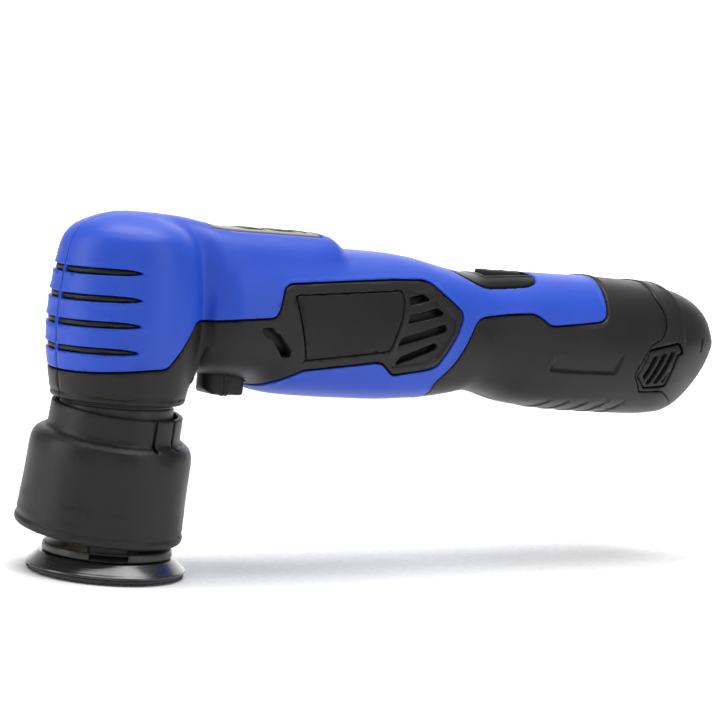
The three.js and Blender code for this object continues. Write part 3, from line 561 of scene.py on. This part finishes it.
# scalloped grip ribs underneath the handle
ph = ((X[:, None] - 164.0) - 0.55 * (Z[None, :] - 54.0)) / 8.9
saw = np.where((ph > 0) & (ph < 5), (ph - np.floor(ph)), 0.0)
saw = np.where(saw > 0.88, (1 - saw) / 0.12, saw / 0.88)
feat = feat + (0.5 * saw * step(61.5, 58.0, Z)[None, :])[:, None, :].astype(F32)
outer = D + feat
black = smax(outer, 0.28 - zone, 0.5)
ventP = sd_poly(VENT, X, Z, 0.15)
for s in SLOTS:
    ventP = np.minimum(ventP, sd_poly(s, X, Z, 0.15))
vent3 = ventP[:, None, :]
# a faint crescent scoop over the lock button
scoop = np.sqrt(((x3 - 36.2) / 1.25) ** 2 + (z3 - 59.0) ** 2 * 1.3 + (np.abs(y3) / 1.0) ** 2) - 9.3
black = smax(black, -np.maximum(scoop, -(D + 1.3)), 0.8)
infill = D + 0.55 + 1.6 * step(-0.35, 0.05, slot3) + 1.6 * step(0.28, 0.16, np.abs(y3 + 0.4))
base = np.minimum(np.minimum(black, D + 2.1), infill)
pocket = np.maximum(np.minimum(bezZ, panZ) - 0.3, -(D + 2.15))
base = np.maximum(base, -pocket)
base = np.maximum(base, -(D + 3.3))
web = np.maximum(np.abs(y3) - 0.8, np.maximum(100.8 - x3, np.maximum(x3 - 146, np.maximum(z3 - 106.5, np.minimum(x3 - 127.5, 200) * 0 + np.where(X > 127.5, 1, 0)[:, None, None] * (z3 - 88)))))
web = np.maximum(web, D + 2.1)
base = np.minimum(base, web.astype(F32))
skin = np.maximum(np.abs(D + 4.9) - 0.5, np.maximum(np.abs(x3 - 44.5) - 10, np.abs(z3 - 78) - 8.5))
skin = np.maximum(skin, 17.6 - np.sqrt(y3 ** 2 + (z3 - 85.3) ** 2))
base = np.minimum(base, np.where(x3 < 60, skin, 9).astype(F32))
# dark charcoal sheets behind the side vents, standing in for the shadowed inside seen through them: painted shade
inset = np.maximum(np.abs(x3 - 106.4) - 12.4, np.abs(z3 - 84.4) - 13.6)
vent_shade_sheet = np.maximum(np.minimum(np.abs(D + 4.6) - 0.4, np.maximum(np.abs(D + 3.9) - 1.1, -inset - 1.2)), inset)
vent_shade_sheet = np.maximum(vent_shade_sheet, 17.9 - np.sqrt(y3 ** 2 + (z3 - 85.3) ** 2))
xi = (X > 90) & (X < 122)
base[xi] = np.minimum(base[xi], vent_shade_sheet[xi].astype(F32))
base = smax(base, 0.08 - batP, 0.4)
base = smax(base, -(butP - 0.3 - 0.35 * step(78, 80.5, Z)[None, None, :]), 0.4)
base = smax(base, -np.maximum(vent3, -(D + 3.6)), 0.3)
rz = np.sqrt(x3 ** 2 + y3 ** 2)
base = np.maximum(base, -np.maximum(rz - 17.65, z3 - 63))
lockbox = np.maximum(np.maximum(np.abs(x3 - 38.28) - 7.58, np.abs(y3) - 6.35), z3 - 70)
lockbox = np.maximum(lockbox, np.where(x3 < 37.0, np.sqrt((x3 - 37.0) ** 2 + y3 ** 2) - 6.3, -9.0))
base = smax(base, -lockbox, 0.4)
base = np.maximum(base, -np.maximum(np.maximum(np.abs(x3 - 149.3) - 3.9, np.abs(y3) - 2.2), 94 - z3))
for x0, x1 in ((40.0, 49.6), (51.7, 62.1)):
    base = np.maximum(base, -np.maximum(np.maximum(np.abs(x3 - (x0 + x1) / 2) - (x1 - x0) / 2, np.abs(y3) - 5.3), 108 - z3))
rib = np.maximum(np.abs(x3 - 75) - 1.0, np.maximum(D + 2.1, 17.7 - np.sqrt(y3 ** 2 + (z3 - 85.3) ** 2)))
base = np.minimum(base, rib)
base = smax(base, part, 0.3)

screws = []
for i in range(1, 6):
    lo, hi = nbox(f"housing_screw_{i}")
    screws.append(((lo[0] + hi[0]) / 2, (lo[2] + hi[2]) / 2, hi[1]))


def with_screw_pockets(f, from_y=None):
    f = f.copy()
    for sx, sz, ys in screws:
        i0, i1 = np.searchsorted(X, (sx - 6, sx + 6))
        cyl = np.maximum(np.hypot(X[i0:i1, None, None] - sx, Z[None, None, :] - sz) - 3.2, (ys - 2.4 if from_y is None else from_y) + y3).astype(F32)
        f[i0:i1] = smax(f[i0:i1], -cyl, 0.35)
    return f


finish_with(mesh_field("body_shell_left", base, X, Y, Z), "charcoal", "housing", "housing_left", slot="charcoal_plastic")
finish_with(mesh_field("body_shell_right", with_screw_pockets(base), X, Y, Z, mirror=True), "charcoal", "housing", "housing_right", slot="charcoal_plastic")
finish_with(mesh_field("soft_cover_left", over, X, Y, Z), "blue", "housing", "overmould_left", slot="blue_soft_touch")
finish_with(mesh_field("soft_cover_right", with_screw_pockets(over, 3.0), X, Y, Z, mirror=True), "blue", "housing", "overmould_right", slot="blue_soft_touch")

# label plates: blank satin plates with a fine raised border
lab = smax(D + 0.3 - 0.16 * step(-0.9, -0.5, labP), -(D + 0.92), 0.2)
lab = smax(lab, labP + 0.05, 0.3)
i0, i1 = np.searchsorted(X, (46, 100))
fy = Y < -12
for side, mir in (("left", False), ("right", True)):
    finish_with(mesh_field(f"label_{side}", lab[i0:i1][:, fy], X[i0:i1], Y[fy], Z, mirror=mir), "label", "housing", f"label_plate_{side}", slot="label_gloss_black")

# ------------------------------------------------------------------ battery: cap, face plate and release buttons
yc = np.arange(-27.2, 27.3, VOX)
ix = X > 203
Dc = np.concatenate([D[ix], D[ix][:, ::-1]], 1)
ym = np.concatenate([Y, -Y[::-1]])
order = np.argsort(ym, kind="stable")


def both(f):
    """Mirror a half field onto the whole width."""
    idx = np.clip(np.round((-np.abs(yc) - Y[0]) / VOX), 0, Y.size - 1).astype(int)
    t = (-np.abs(yc) - Y[0]) / VOX
    a = np.clip(np.floor(t).astype(int), 0, Y.size - 2)
    w = np.clip(t - a, 0, 1)[None, :, None].astype(F32)
    return f[:, a] * (1 - w) + f[:, a + 1] * w


Xb = X[ix]
Db2 = both(D[ix])
xb, yb, zb = Xb[:, None, None].astype(F32), yc[None, :, None].astype(F32), Z[None, None, :].astype(F32)
bp = batP[ix]
r2 = 232.2 + 1.9 * np.exp(-((Z - 92) / 7.0) ** 2)
ridge = 1.05 * step(-0.2, 0.6, Xb[:, None] - r2[None, :]) * step(82, 88, Z)[None, :]
bead = -0.4 * np.exp(-((Xb[:, None] - r2[None, :] + 0.6) / 0.6) ** 2) * step(82, 88, Z)[None, :] - 0.4 * step(-5.0, -0.6, batP[ix][:, 0, :])* step(82, 88, Z)[None, :]
cap = Db2 + (ridge + bead)[:, None, :].astype(F32)
plain = cap
slit = np.maximum(np.abs(Xb - 245.6)[:, None] - 0.45, np.abs(Z - 82.8)[None, :] - 2.6)[:, None, :]
cap = smax(cap, -np.maximum(slit, -(plain + 0.9)), 0.25)
foot = np.maximum(np.abs(xb - 243.5) - 1.6, np.maximum(np.abs(yb) - 4.5, zb - 57.6))
cap = smax(cap, -foot, 0.3)
stem_lo, stem_hi = nbox("battery_case")
CZ, CD, CR = 80.3, 10.7, 9.1
lobes = np.full((1, yc.size, Z.size), 99, F32)
for k in range(3):
    a = math.pi / 2 + k * 2 * math.pi / 3
    lobes = np.minimum(lobes, (np.hypot(yc[:, None] - CD * math.cos(a), Z[None, :] - CZ - CD * math.sin(a)) - CR - 1.0)[None].astype(F32))
wall = np.maximum(cap, -(plain + 1.9))
plate = np.maximum(np.maximum(cap, np.abs(bp + 1.3) - 1.1), 0.3 - lobes)
capf = np.minimum(wall, plate)
capf = smax(capf, bp + 0.08, 0.5)
capf = smax(capf, -(butP[ix] - 0.3 - 0.35 * step(78, 80.5, Z)[None, None, :]), 0.4)
finish_with(mesh_field("battery_end", capf, Xb, yc, Z), "charcoal", "battery", "battery_cap", slot="charcoal_plastic")

jx = (X > 205) & (X < 238)
ribs = ((X[:, None] - 0.5 * (Z[None, :] - 66)) - 214.4) / 3.9
prof = 0.5 + 0.5 * np.cos(2 * math.pi * ribs)
inset = sd_poly([[216.6, 78.0], [228.4, 80.4], [225.6, 68.4], [216.8, 67.6], [213.2, 70.9]], X, Z, 0.3)
ribh = 1.9 * (1 - step(0.2, 0.6, prof)) * step(0.2, -0.5, inset)
rel = (D + 0.35 + ribh[:, None, :]).astype(F32)
rel = smax(rel, -(D + 2.6), 0.3)
rel = smax(rel, butP + 0.12, 0.5)
for side, mir in (("left", False), ("right", True)):
    finish_with(mesh_field(f"release_{side}_key", rel[jx][:, fy], X[jx], Y[fy], Z, mirror=mir), "charcoal", f"release_{side}", f"release_button_{side}", slot="charcoal_plastic")

# ------------------------------------------------------------------ switch surround, slide knob, top panel and its buttons
zx = (X > 125) & (X < 174)
Xs = X[zx]
Ds = both(D[zx])
bz = both(np.broadcast_to(bezP[zx], (Xs.size, Y.size, Z.size)).astype(F32))
xs3 = Xs[:, None, None]
well = np.maximum(np.abs(xs3 - 155.1) - 10.6, np.abs(yb) - 7.3)
bzf = Ds - 0.05 - 0.3 * step(1.7, 0.9, np.abs(well))
inner = np.maximum(well.astype(F32), -(Ds + 1.25))
bzf = smax(bzf, -inner, 0.4)
bzf = smax(bzf, -(Ds + 1.8), 0.3)
bzf = np.maximum(bzf, 98.2 - Z[None, None, :])
bzf = smax(bzf, bz + 0.05, 0.5)
bzf = smax(bzf, -np.maximum(np.abs(xs3 - 155.1) - 10.0, np.abs(yb) - 6.7).astype(F32), 0.3)
kz = Z > 94
# the surround takes the darkened satin colour, painted shade
finish_with(mesh_field("switch_surround", bzf[:, :, kz], Xs, yc, Z[kz]), "surround", "housing", "switch_bezel", slot="charcoal_plastic")

lo, hi = nbox("switch_knob")
v = 0.25
kx, ky, kzz = np.arange(lo[0] - 1, hi[0] + 1, v), np.arange(lo[1] - 1, hi[1] + 1, v), np.arange(lo[2] - 1, hi[2] + 1, v)
gx, gy, gz = kx[:, None, None], ky[None, :, None], kzz[None, None, :]
lo = lo + np.array([-0.2, 1.7, -1.5])
hi = hi + np.array([-2.2, -1.7, -0.8])
cx, cz = (lo[0] + hi[0]) / 2, (lo[2] + hi[2]) / 2
q = [np.abs(gx - cx) - (hi[0] - lo[0]) / 2 + 1.0, np.abs(gy) - (hi[1] - lo[1]) / 2 + 1.0, np.abs(gz - cz) - (hi[2] - lo[2]) / 2 + 1.0]
kn = np.sqrt(sum(np.maximum(t, 0) ** 2 for t in q)) + np.minimum(np.maximum(np.maximum(q[0], q[1]), q[2]), 0) - 1.0
dish = (1 - np.sqrt(((gx - cx - 0.4) / 6.6) ** 2 + ((gz - hi[2] - 1.5) / 3.1) ** 2 + (gy / 4.3) ** 2)) * 3.2
kn = smax(kn, dish, 0.5)
teeth = 0.22 * np.cos(2 * math.pi * (gx - cx) / 1.9) * step(5.2, 4.4, np.abs(gx - cx)) * step(3.9, 3.2, np.abs(gy)) * step(hi[2] - 1.8, hi[2] - 1.0, gz)
kn = kn + teeth + 0.1
finish_with(mesh_field("slide_knob", kn, kx, ky, kzz, adapt=0.05), "button", "switch", "switch_knob", slot="charcoal_plastic")

px = (X > 22) & (X < 72)
Xp = X[px]
Dp = both(D[px])
pp = both(np.broadcast_to(panP[px], (Xp.size, Y.size, Z.size)).astype(F32))
xp = Xp[:, None, None].astype(F32)
pan = smax(Dp + 0.12 - 0.16 * step(-1.4, -0.9, pp), -(Dp + 1.75), 0.3)
pan = smax(pan, pp + 0.05, 0.4)
cuts = []
for x0, x1 in ((40.0, 49.6), (51.7, 62.1), (64.2, 66.6)):
    q0, q1 = np.abs(xp - (x0 + x1) / 2) - (x1 - x0) / 2 + 1.0, np.abs(yb) - 5.3 + 1.0
    c = np.sqrt(np.maximum(q0, 0) ** 2 + np.maximum(q1, 0) ** 2) + np.minimum(np.maximum(q0, q1), 0) - 1.0
    cuts.append(c.astype(F32))
    pan = smax(pan, -c, 0.25)
kz = Z > 106.5
finish_with(mesh_field("top_panel", pan[:, :, kz], Xp, yc, Z[kz]), "panel", "housing", "control_panel", slot="panel_grey")
zz = Z[None, None, :]
for name, node, c, x0, x1, rise in (("minus_key", "speed_down_button", cuts[0], 40.3, 49.3, 0.25), ("plus_key", "speed_up_button", cuts[1], 52.0, 61.8, 0.25)):
    xm = (x0 + x1) / 2
    dome = 0.4 * ((xp - xm) / 5) ** 2
    k = smax(Dp - rise + dome.astype(F32), (110.4 - zz).astype(F32), 0.3)
    k = smax(k, c + 0.3, 0.9)
    mark = np.maximum(np.maximum(np.abs(xp - xm) - 0.45, np.abs(yb) - 1.9), -(Dp + 0.1))
    if name == "plus_key":
        mark = np.minimum(mark, np.maximum(np.maximum(np.abs(yb) - 0.45, np.abs(xp - xm) - 1.9), -(Dp + 0.1)))
    k = smax(k, -mark.astype(F32), 0.2)
    i0, i1 = np.searchsorted(Xp, (x0 - 2, x1 + 2))
    body = "speed_down" if name == "minus_key" else "speed_up"
    finish_with(mesh_field(name, k[i0:i1][:, :, kz], Xp[i0:i1], yc, Z[kz]), "button", body, node, slot="charcoal_plastic")
k = smax(Dp - 0.2, (111.8 - zz).astype(F32), 0.3)
k = smax(k, cuts[2] + 0.3, 0.5)
i0, i1 = np.searchsorted(Xp, (62, 69))
finish_with(mesh_field("panel_lamp", k[i0:i1][:, :, kz], Xp[i0:i1], yc, Z[kz]), "gloss", "housing", "panel_indicator", slot="label_gloss_black")

# lock button with its two finger ribs
lo, hi = nbox("lock_button")
v = 0.3
kx, ky, kzz = np.arange(25.5, 47, v), np.arange(-7.6, 7.6, v), np.arange(lo[2] - 1.5, 69, v)
gx, gy, gz = kx[:, None, None], ky[None, :, None], kzz[None, None, :]
bot = lo[2] - 0.3 + 1.6 * step(35.0, 31.2, gx) ** 1.5
q = [np.abs(gx - 38.3) - 7.15 + 1.2, np.abs(gy) - 6.0 + 1.2, np.abs(gz - (bot + 68.0) / 2) - (68.0 - bot) / 2 + 1.2]
lk = np.sqrt(sum(np.maximum(t, 0) ** 2 for t in q)) + np.minimum(np.maximum(np.maximum(q[0], q[1]), q[2]), 0) - 1.2
lk = lk - 0.38 * np.exp(-((np.abs(gx - 37.9) - 0.75) / 0.38) ** 2) + 0.55 * np.exp(-((gx - 35.3) / 0.6) ** 2)
lk = smax(lk, np.where(gx < 37.0, np.hypot(gx - 37.0, gy) - 5.8, -9.0) + 0 * gz, 0.4)
lk = np.maximum(lk, gz - 65.4)
lk = np.minimum(lk, np.maximum(np.hypot(gx - 32.6, gy) - 1.15, np.abs(gz - 66.0) - 1.7))
finish_with(mesh_field("lock_key", lk, kx, ky, kzz, adapt=0.05), "charcoal", "lock", "lock_button", slot="charcoal_plastic")

# ------------------------------------------------------------------ skirt, collar, pad
lo, hi = nbox("shroud")
v = 0.36
tilt = Matrix.Rotation(math.radians(2), 4, "Y") @ Matrix.Rotation(math.radians(5), 4, "X")
R3 = np.array(tilt.to_3x3())
TX, TY, TZ = 0.25, -0.35, 53.6
kx, ky, kzz = np.arange(lo[0] - 1, hi[0] + 1, v), np.arange(lo[1] - 1, hi[1] + 1, v), np.arange(lo[2] - 1, hi[2] + 1, v)
g = np.stack(np.meshgrid(kx - TX, ky - TY, kzz - TZ, indexing="ij"), -1).astype(F32)
loc = g @ R3.astype(F32)
r, zl = np.sqrt(loc[..., 0] ** 2 + loc[..., 1] ** 2), loc[..., 2]
ang = np.degrees(np.arctan2(loc[..., 1], loc[..., 0]))
prof = [(19.6, -0.2), (21.35, -0.2), (21.45, -3), (21.5, -7.4), (21.9, -8.5), (23.8, -9.3), (25.3, -10.6), (26.1, -12.4), (26.4, -15), (26.55, -24), (26.75, -30.2), (26.9, -30.5), (26.95, -34.6),
        (27.15, -36.4), (27.0, -37.6), (26.75, -38.0), (26.85, -38.4), (27.45, -38.8), (27.5, -40.0), (27.1, -40.8), (26.4, -41.2), (25.7, -41.0), (25.5, -38), (25.2, -34), (24.7, -14), (24.2, -12), (22.6, -10.6), (20.2, -9.4), (19.8, -8.4)]
rs, zs = np.arange(18, 29.5, 0.1), np.arange(-43, 2, 0.1)
tab = sd_poly(prof, rs, zs, 0.12)
sk = sample(tab[:, None, :].repeat(2, 1), np.stack([(r.ravel() - 18) / 0.1, np.zeros(r.size), (zl.ravel() + 43) / 0.1], 1)).reshape(r.shape).astype(F32)
sk = np.where(r < 18, 18 - r + 1.6, sk)
for a0 in (-85, -61, 95, 119):
    da = np.abs((ang - a0 + 180) % 360 - 180) * math.pi / 180 * 21.4
    cut = np.maximum(da - 0.6, np.maximum(-9.8 - zl, 20.3 - r))
    sk = smax(sk, -cut, 0.3)
# the skirt takes the darkened rubber colour, painted shade
finish_with(mesh_field("skirt", sk, kx, ky, kzz, adapt=0.08), "skirt", "housing", "shroud", slot="skirt_rubber")

OY = -1.5
collar = rounded([(6.2, 44.5), (17.2, 44.5), (18.4, 46), (18.5, 54.4), (18.0, 54.8), (18.0, 55.2), (18.4, 55.5), (18.4, 55.85), (6.2, 55.85)], 0.3)
finish_with(lathe("collar_ring", collar), "collar", "housing", "nose_collar", slot="cast_aluminium")

pad = rounded([(0, 1.5), (25.4, 1.5), (25.95, 1.75), (25.95, 2.3), (25.0, 3.0), (23.8, 4.05), (22.7, 5.1), (21.9, 5.95), (0, 5.95)], 0.25)
finish_with(lathe("pad_cone", pad, 220, (0, OY, 0)), "gloss", "pad", "backing_pad", slot="pad_gloss_black")

lo, hi = nbox("backing_plate")
v = 0.26
kx, ky, kzz = np.arange(lo[0] - 1, hi[0] + 1, v), np.arange(lo[1] - 1, hi[1] + 1, v), np.arange(lo[2] - 1, hi[2] + 1, v)
prof = [(3.2, 14.1), (8.0, 14.1), (8.8, 13.2), (9.4, 11.6), (12, 10.6), (17.5, 9.5), (20.6, 8.9), (21.0, 8.3), (21.1, 6.6), (20.8, 6.3), (3.2, 6.3)]
bp_ = turned(prof, kx, ky, kzz, 32, 0, OY)
bp_ = np.maximum(bp_, 3.25 - np.hypot(kx[:, None, None], ky[None, :, None] - OY)).astype(F32)
gx, gy, gz = kx[:, None, None], ky[None, :, None] - OY, kzz[None, None, :]
rr = np.hypot(gx, gy)
for i in range(3):
    a0 = math.radians(-120 + 120 * i)
    u, w = gx * math.cos(a0) + gy * math.sin(a0), -gx * math.sin(a0) + gy * math.cos(a0)
    win = np.maximum(np.maximum(np.abs(u - 17.2) - 5.0, np.abs(w) - 6.2), np.maximum(6.7 - gz, gz - 8.7 - (20 - rr) * 0.3))
    bp_ = smax(bp_, -win.astype(F32), 0.35)
bp_ = np.maximum(bp_, np.maximum(6.3 - gz, gz - 14.1)).astype(F32)
finish_with(mesh_field("plate_disc", bp_, kx, ky, kzz, adapt=0.06), "plate", "pad", "backing_plate", slot="pad_gloss_black")

# hook face: woven base disc and rows of small bent hooks
bm = bmesh.new()
ring = []
nseg = 240
prof = [(0.0, 1.2), (25.0, 1.2), (25.2, 1.1), (25.2, 0.85), (25.0, 0.72), (0.0, 0.72)]
for i in range(nseg):
    a = 2 * math.pi * i / nseg
    wob = 1 - 0.0035 * (1 + math.sin(a * 61) * math.cos(a * 23))
    ring.append([bm.verts.new((r * wob * math.cos(a), r * wob * math.sin(a) + OY, z)) for r, z in prof[1:-1]])
top = bm.verts.new((0, OY, 1.2))
bot = bm.verts.new((0, OY, 0.62))
for i in range(nseg):
    a, b = ring[i], ring[(i + 1) % nseg]
    bm.faces.new((top, a[0], b[0]))
    for k in range(len(a) - 1):
        bm.faces.new((a[k], a[k + 1], b[k + 1], b[k]))
    bm.faces.new((bot, b[-1], a[-1]))


def hook(x, y, a, lean, h, w):
    c, s = math.cos(a), math.sin(a)
    pts = [(0, 0.66), (0.05 + lean * 0.2, 0.40), (0.22 + lean * 0.5, 0.16), (0.44 + lean * 0.6, h), (0.60 + lean * 0.6, 0.20)]
    rings = []
    for k, (u, z) in enumerate(pts):
        ww = w * (1.0 - 0.14 * k)
        rings.append([bm.verts.new((x + c * (u + du * ww) - s * dv * ww, y + s * (u + du * ww) + c * dv * ww, z)) for du, dv in ((-1, -1), (1, -1), (1, 1), (-1, 1))])
    for p, q in zip(rings[:-1], rings[1:]):
        for k in range(4):
            bm.faces.new((p[k], p[(k + 1) % 4], q[(k + 1) % 4], q[k]))
    bm.faces.new(rings[0][::-1])
    bm.faces.new(rings[-1])


pitch = 1.02
n = int(25 / pitch)
for i in range(-n, n + 1):
    for j in range(-n, n + 1):
        x, y = i * pitch + (0.5 * pitch if j % 2 else 0), j * pitch
        if math.hypot(x, y) < 24.5:
            hook(x + rng.uniform(-0.12, 0.12), y + OY + rng.uniform(-0.12, 0.12), rng.uniform(-0.5, 0.5) + (math.pi if j % 2 else 0), rng.uniform(-0.2, 0.3), rng.uniform(0.02, 0.08), 0.12)
for i in range(460):
    a = 2 * math.pi * i / 460 + rng.uniform(-0.006, 0.006)
    q = 24.85 + rng.uniform(-0.3, 0.25)
    hook(q * math.cos(a), q * math.sin(a) + OY, a + rng.uniform(-1.0, 1.0), rng.uniform(-0.3, 0.35), rng.uniform(0.02, 0.3), rng.uniform(0.14, 0.26))
bmesh.ops.recalc_face_normals(bm, faces=bm.faces)
bm.transform(Matrix.Scale(0.001, 4))
me = bpy.data.meshes.new("hook_face")
bm.to_mesh(me)
bm.free()
o = bpy.data.objects.new("hook_face", me)
bpy.context.scene.collection.objects.link(o)
finish_with(o, "hook", "pad", "hook_disc", slot="hook_fabric")

# ------------------------------------------------------------------ carried-over CAD pieces
KEEP = {
    "steel": ("spindle_bearing_upper", "spindle_bearing_lower", "spindle_shaft", "driven_bevel_gear", "eccentric_hub", "pad_bearing", "pad_spindle", "plate_stud", "lock_pin",
              "housing_screw_1", "housing_screw_2", "housing_screw_3", "housing_screw_4", "housing_screw_5"),
    "steel_x": ("pinion_bearing", "drive_pinion", "motor_can", "motor_bearing_front", "motor_bearing_rear", "motor_shaft", "lock_ring"),
    "spring": ("lock_spring",), "cast": ("gear_case",), "brass": ("counterweight",), "copper": ("armature", "commutator"),
    "ferrite": ("motor_magnet_left", "motor_magnet_right"), "board": ("control_board",),
    "charcoal": ("switch_rod", "microswitch", "terminal_block", "motor_end_bell", "cooling_fan", "battery_case"),
    "cell": ("battery_cell_1", "battery_cell_2", "battery_cell_3"),
}
for mat, names in KEEP.items():
    for n in names:
        o = NODES[n]
        o.data.materials.clear()
        o.data.materials.append(M[mat])

# ------------------------------------------------------------------ stage, lights, camera
sc = bpy.context.scene
sc.view_settings.view_transform = "Standard"
sc.view_settings.look = "None"
sweep_y = [(-6, 0), (1.6, 0)] + [(1.6 + 1.2 * math.sin(t), 1.2 - 1.2 * math.cos(t)) for t in np.linspace(0.1, math.pi / 2, 12)] + [(2.8, 6)]
d2 = np.array([math.sin(math.radians(38)), math.cos(math.radians(38))])
s2 = np.array([math.cos(math.radians(38)), -math.sin(math.radians(38))])
verts, faces = [], []
for k, (dist, h) in enumerate(sweep_y):
    for s in (-7, 7):
        p = d2 * dist + s2 * s
        verts.append((p[0], p[1], h - 0.0004))
for k in range(len(sweep_y) - 1):
    faces.append((2 * k, 2 * k + 1, 2 * k + 3, 2 * k + 2))
floor = obj_from("floor_sweep", verts, faces)
fm = plastic("pale_floor", (0.88, 0.88, 0.88), (0.90, 0.90, 0.90), (0.7, 0.85), 400, 0.0, cloud=3, spec=0.1)
floor.data.materials.append(fm)

w = bpy.data.worlds.new("studio")
sc.world = w
w.use_nodes = True
bg = w.node_tree.nodes["Background"]
bg.inputs["Color"].default_value = (0.97, 0.98, 1.0, 1)
bg.inputs["Strength"].default_value = 0.38


def area(name, loc, target, size, power, colour=(1, 1, 1), size_y=None):
    ld = bpy.data.lights.new(name, "AREA")
    ld.energy = power
    ld.color = colour
    ld.size = size
    if size_y:
        ld.shape = "RECTANGLE"
        ld.size_y = size_y
    o = bpy.data.objects.new(name, ld)
    sc.collection.objects.link(o)
    o.location = loc
    o.rotation_euler = (Vector(target) - Vector(loc)).to_track_quat("-Z", "Y").to_euler()
    return o


C = np.array([-0.394428, -0.629831, 0.135333])
psi, eps, rho = math.radians(38), math.radians(4.6), math.radians(5.35)
d = np.array([math.sin(psi) * math.cos(eps), math.cos(psi) * math.cos(eps), -math.sin(eps)])
right = np.array([math.cos(psi), -math.sin(psi), 0])
up = np.cross(right, d)
R = right * math.cos(rho) + up * math.sin(rho)
U = -right * math.sin(rho) + up * math.cos(rho)
mid = np.array([0.11, 0, 0.07])


def rel_light(name, r, u, f, size, power, size_y=None, target=None):
    p = mid + right * r + np.array([0, 0, 1.0]) * u - d * f
    return area(name, p, mid if target is None else target, size, power, size_y=size_y)


rel_light("top_soft", 0.0, 0.95, -0.05, 0.9, 13.0, 0.6)
rel_light("left_strip", -0.85, 0.25, 0.30, 0.30, 4.4, 0.9)
rel_light("right_strip", 0.75, 0.30, 0.45, 0.30, 2.4, 0.9)
rel_light("front_fill", 0.0, 0.20, 1.2, 0.8, 1.6)
wall = mid + d * np.array([1, 1, 0]) * 1.5
area("backdrop_wash", (wall[0], wall[1], 1.6), (wall[0] + d[0] * 1.4, wall[1] + d[1] * 1.4, 0.5), 2.4, 60, size_y=0.8)

cd = bpy.data.cameras.new("camera")
cd.lens = 115
cd.sensor_width = 36
cd.sensor_fit = "HORIZONTAL"
cd.clip_start = 0.01
cd.clip_end = 50
cam = bpy.data.objects.new("camera", cd)
sc.collection.objects.link(cam)
m = Matrix([[R[0], U[0], -d[0], C[0]], [R[1], U[1], -d[1], C[1]], [R[2], U[2], -d[2], C[2]], [0, 0, 0, 1]])
cam.matrix_world = m
sc.camera = cam
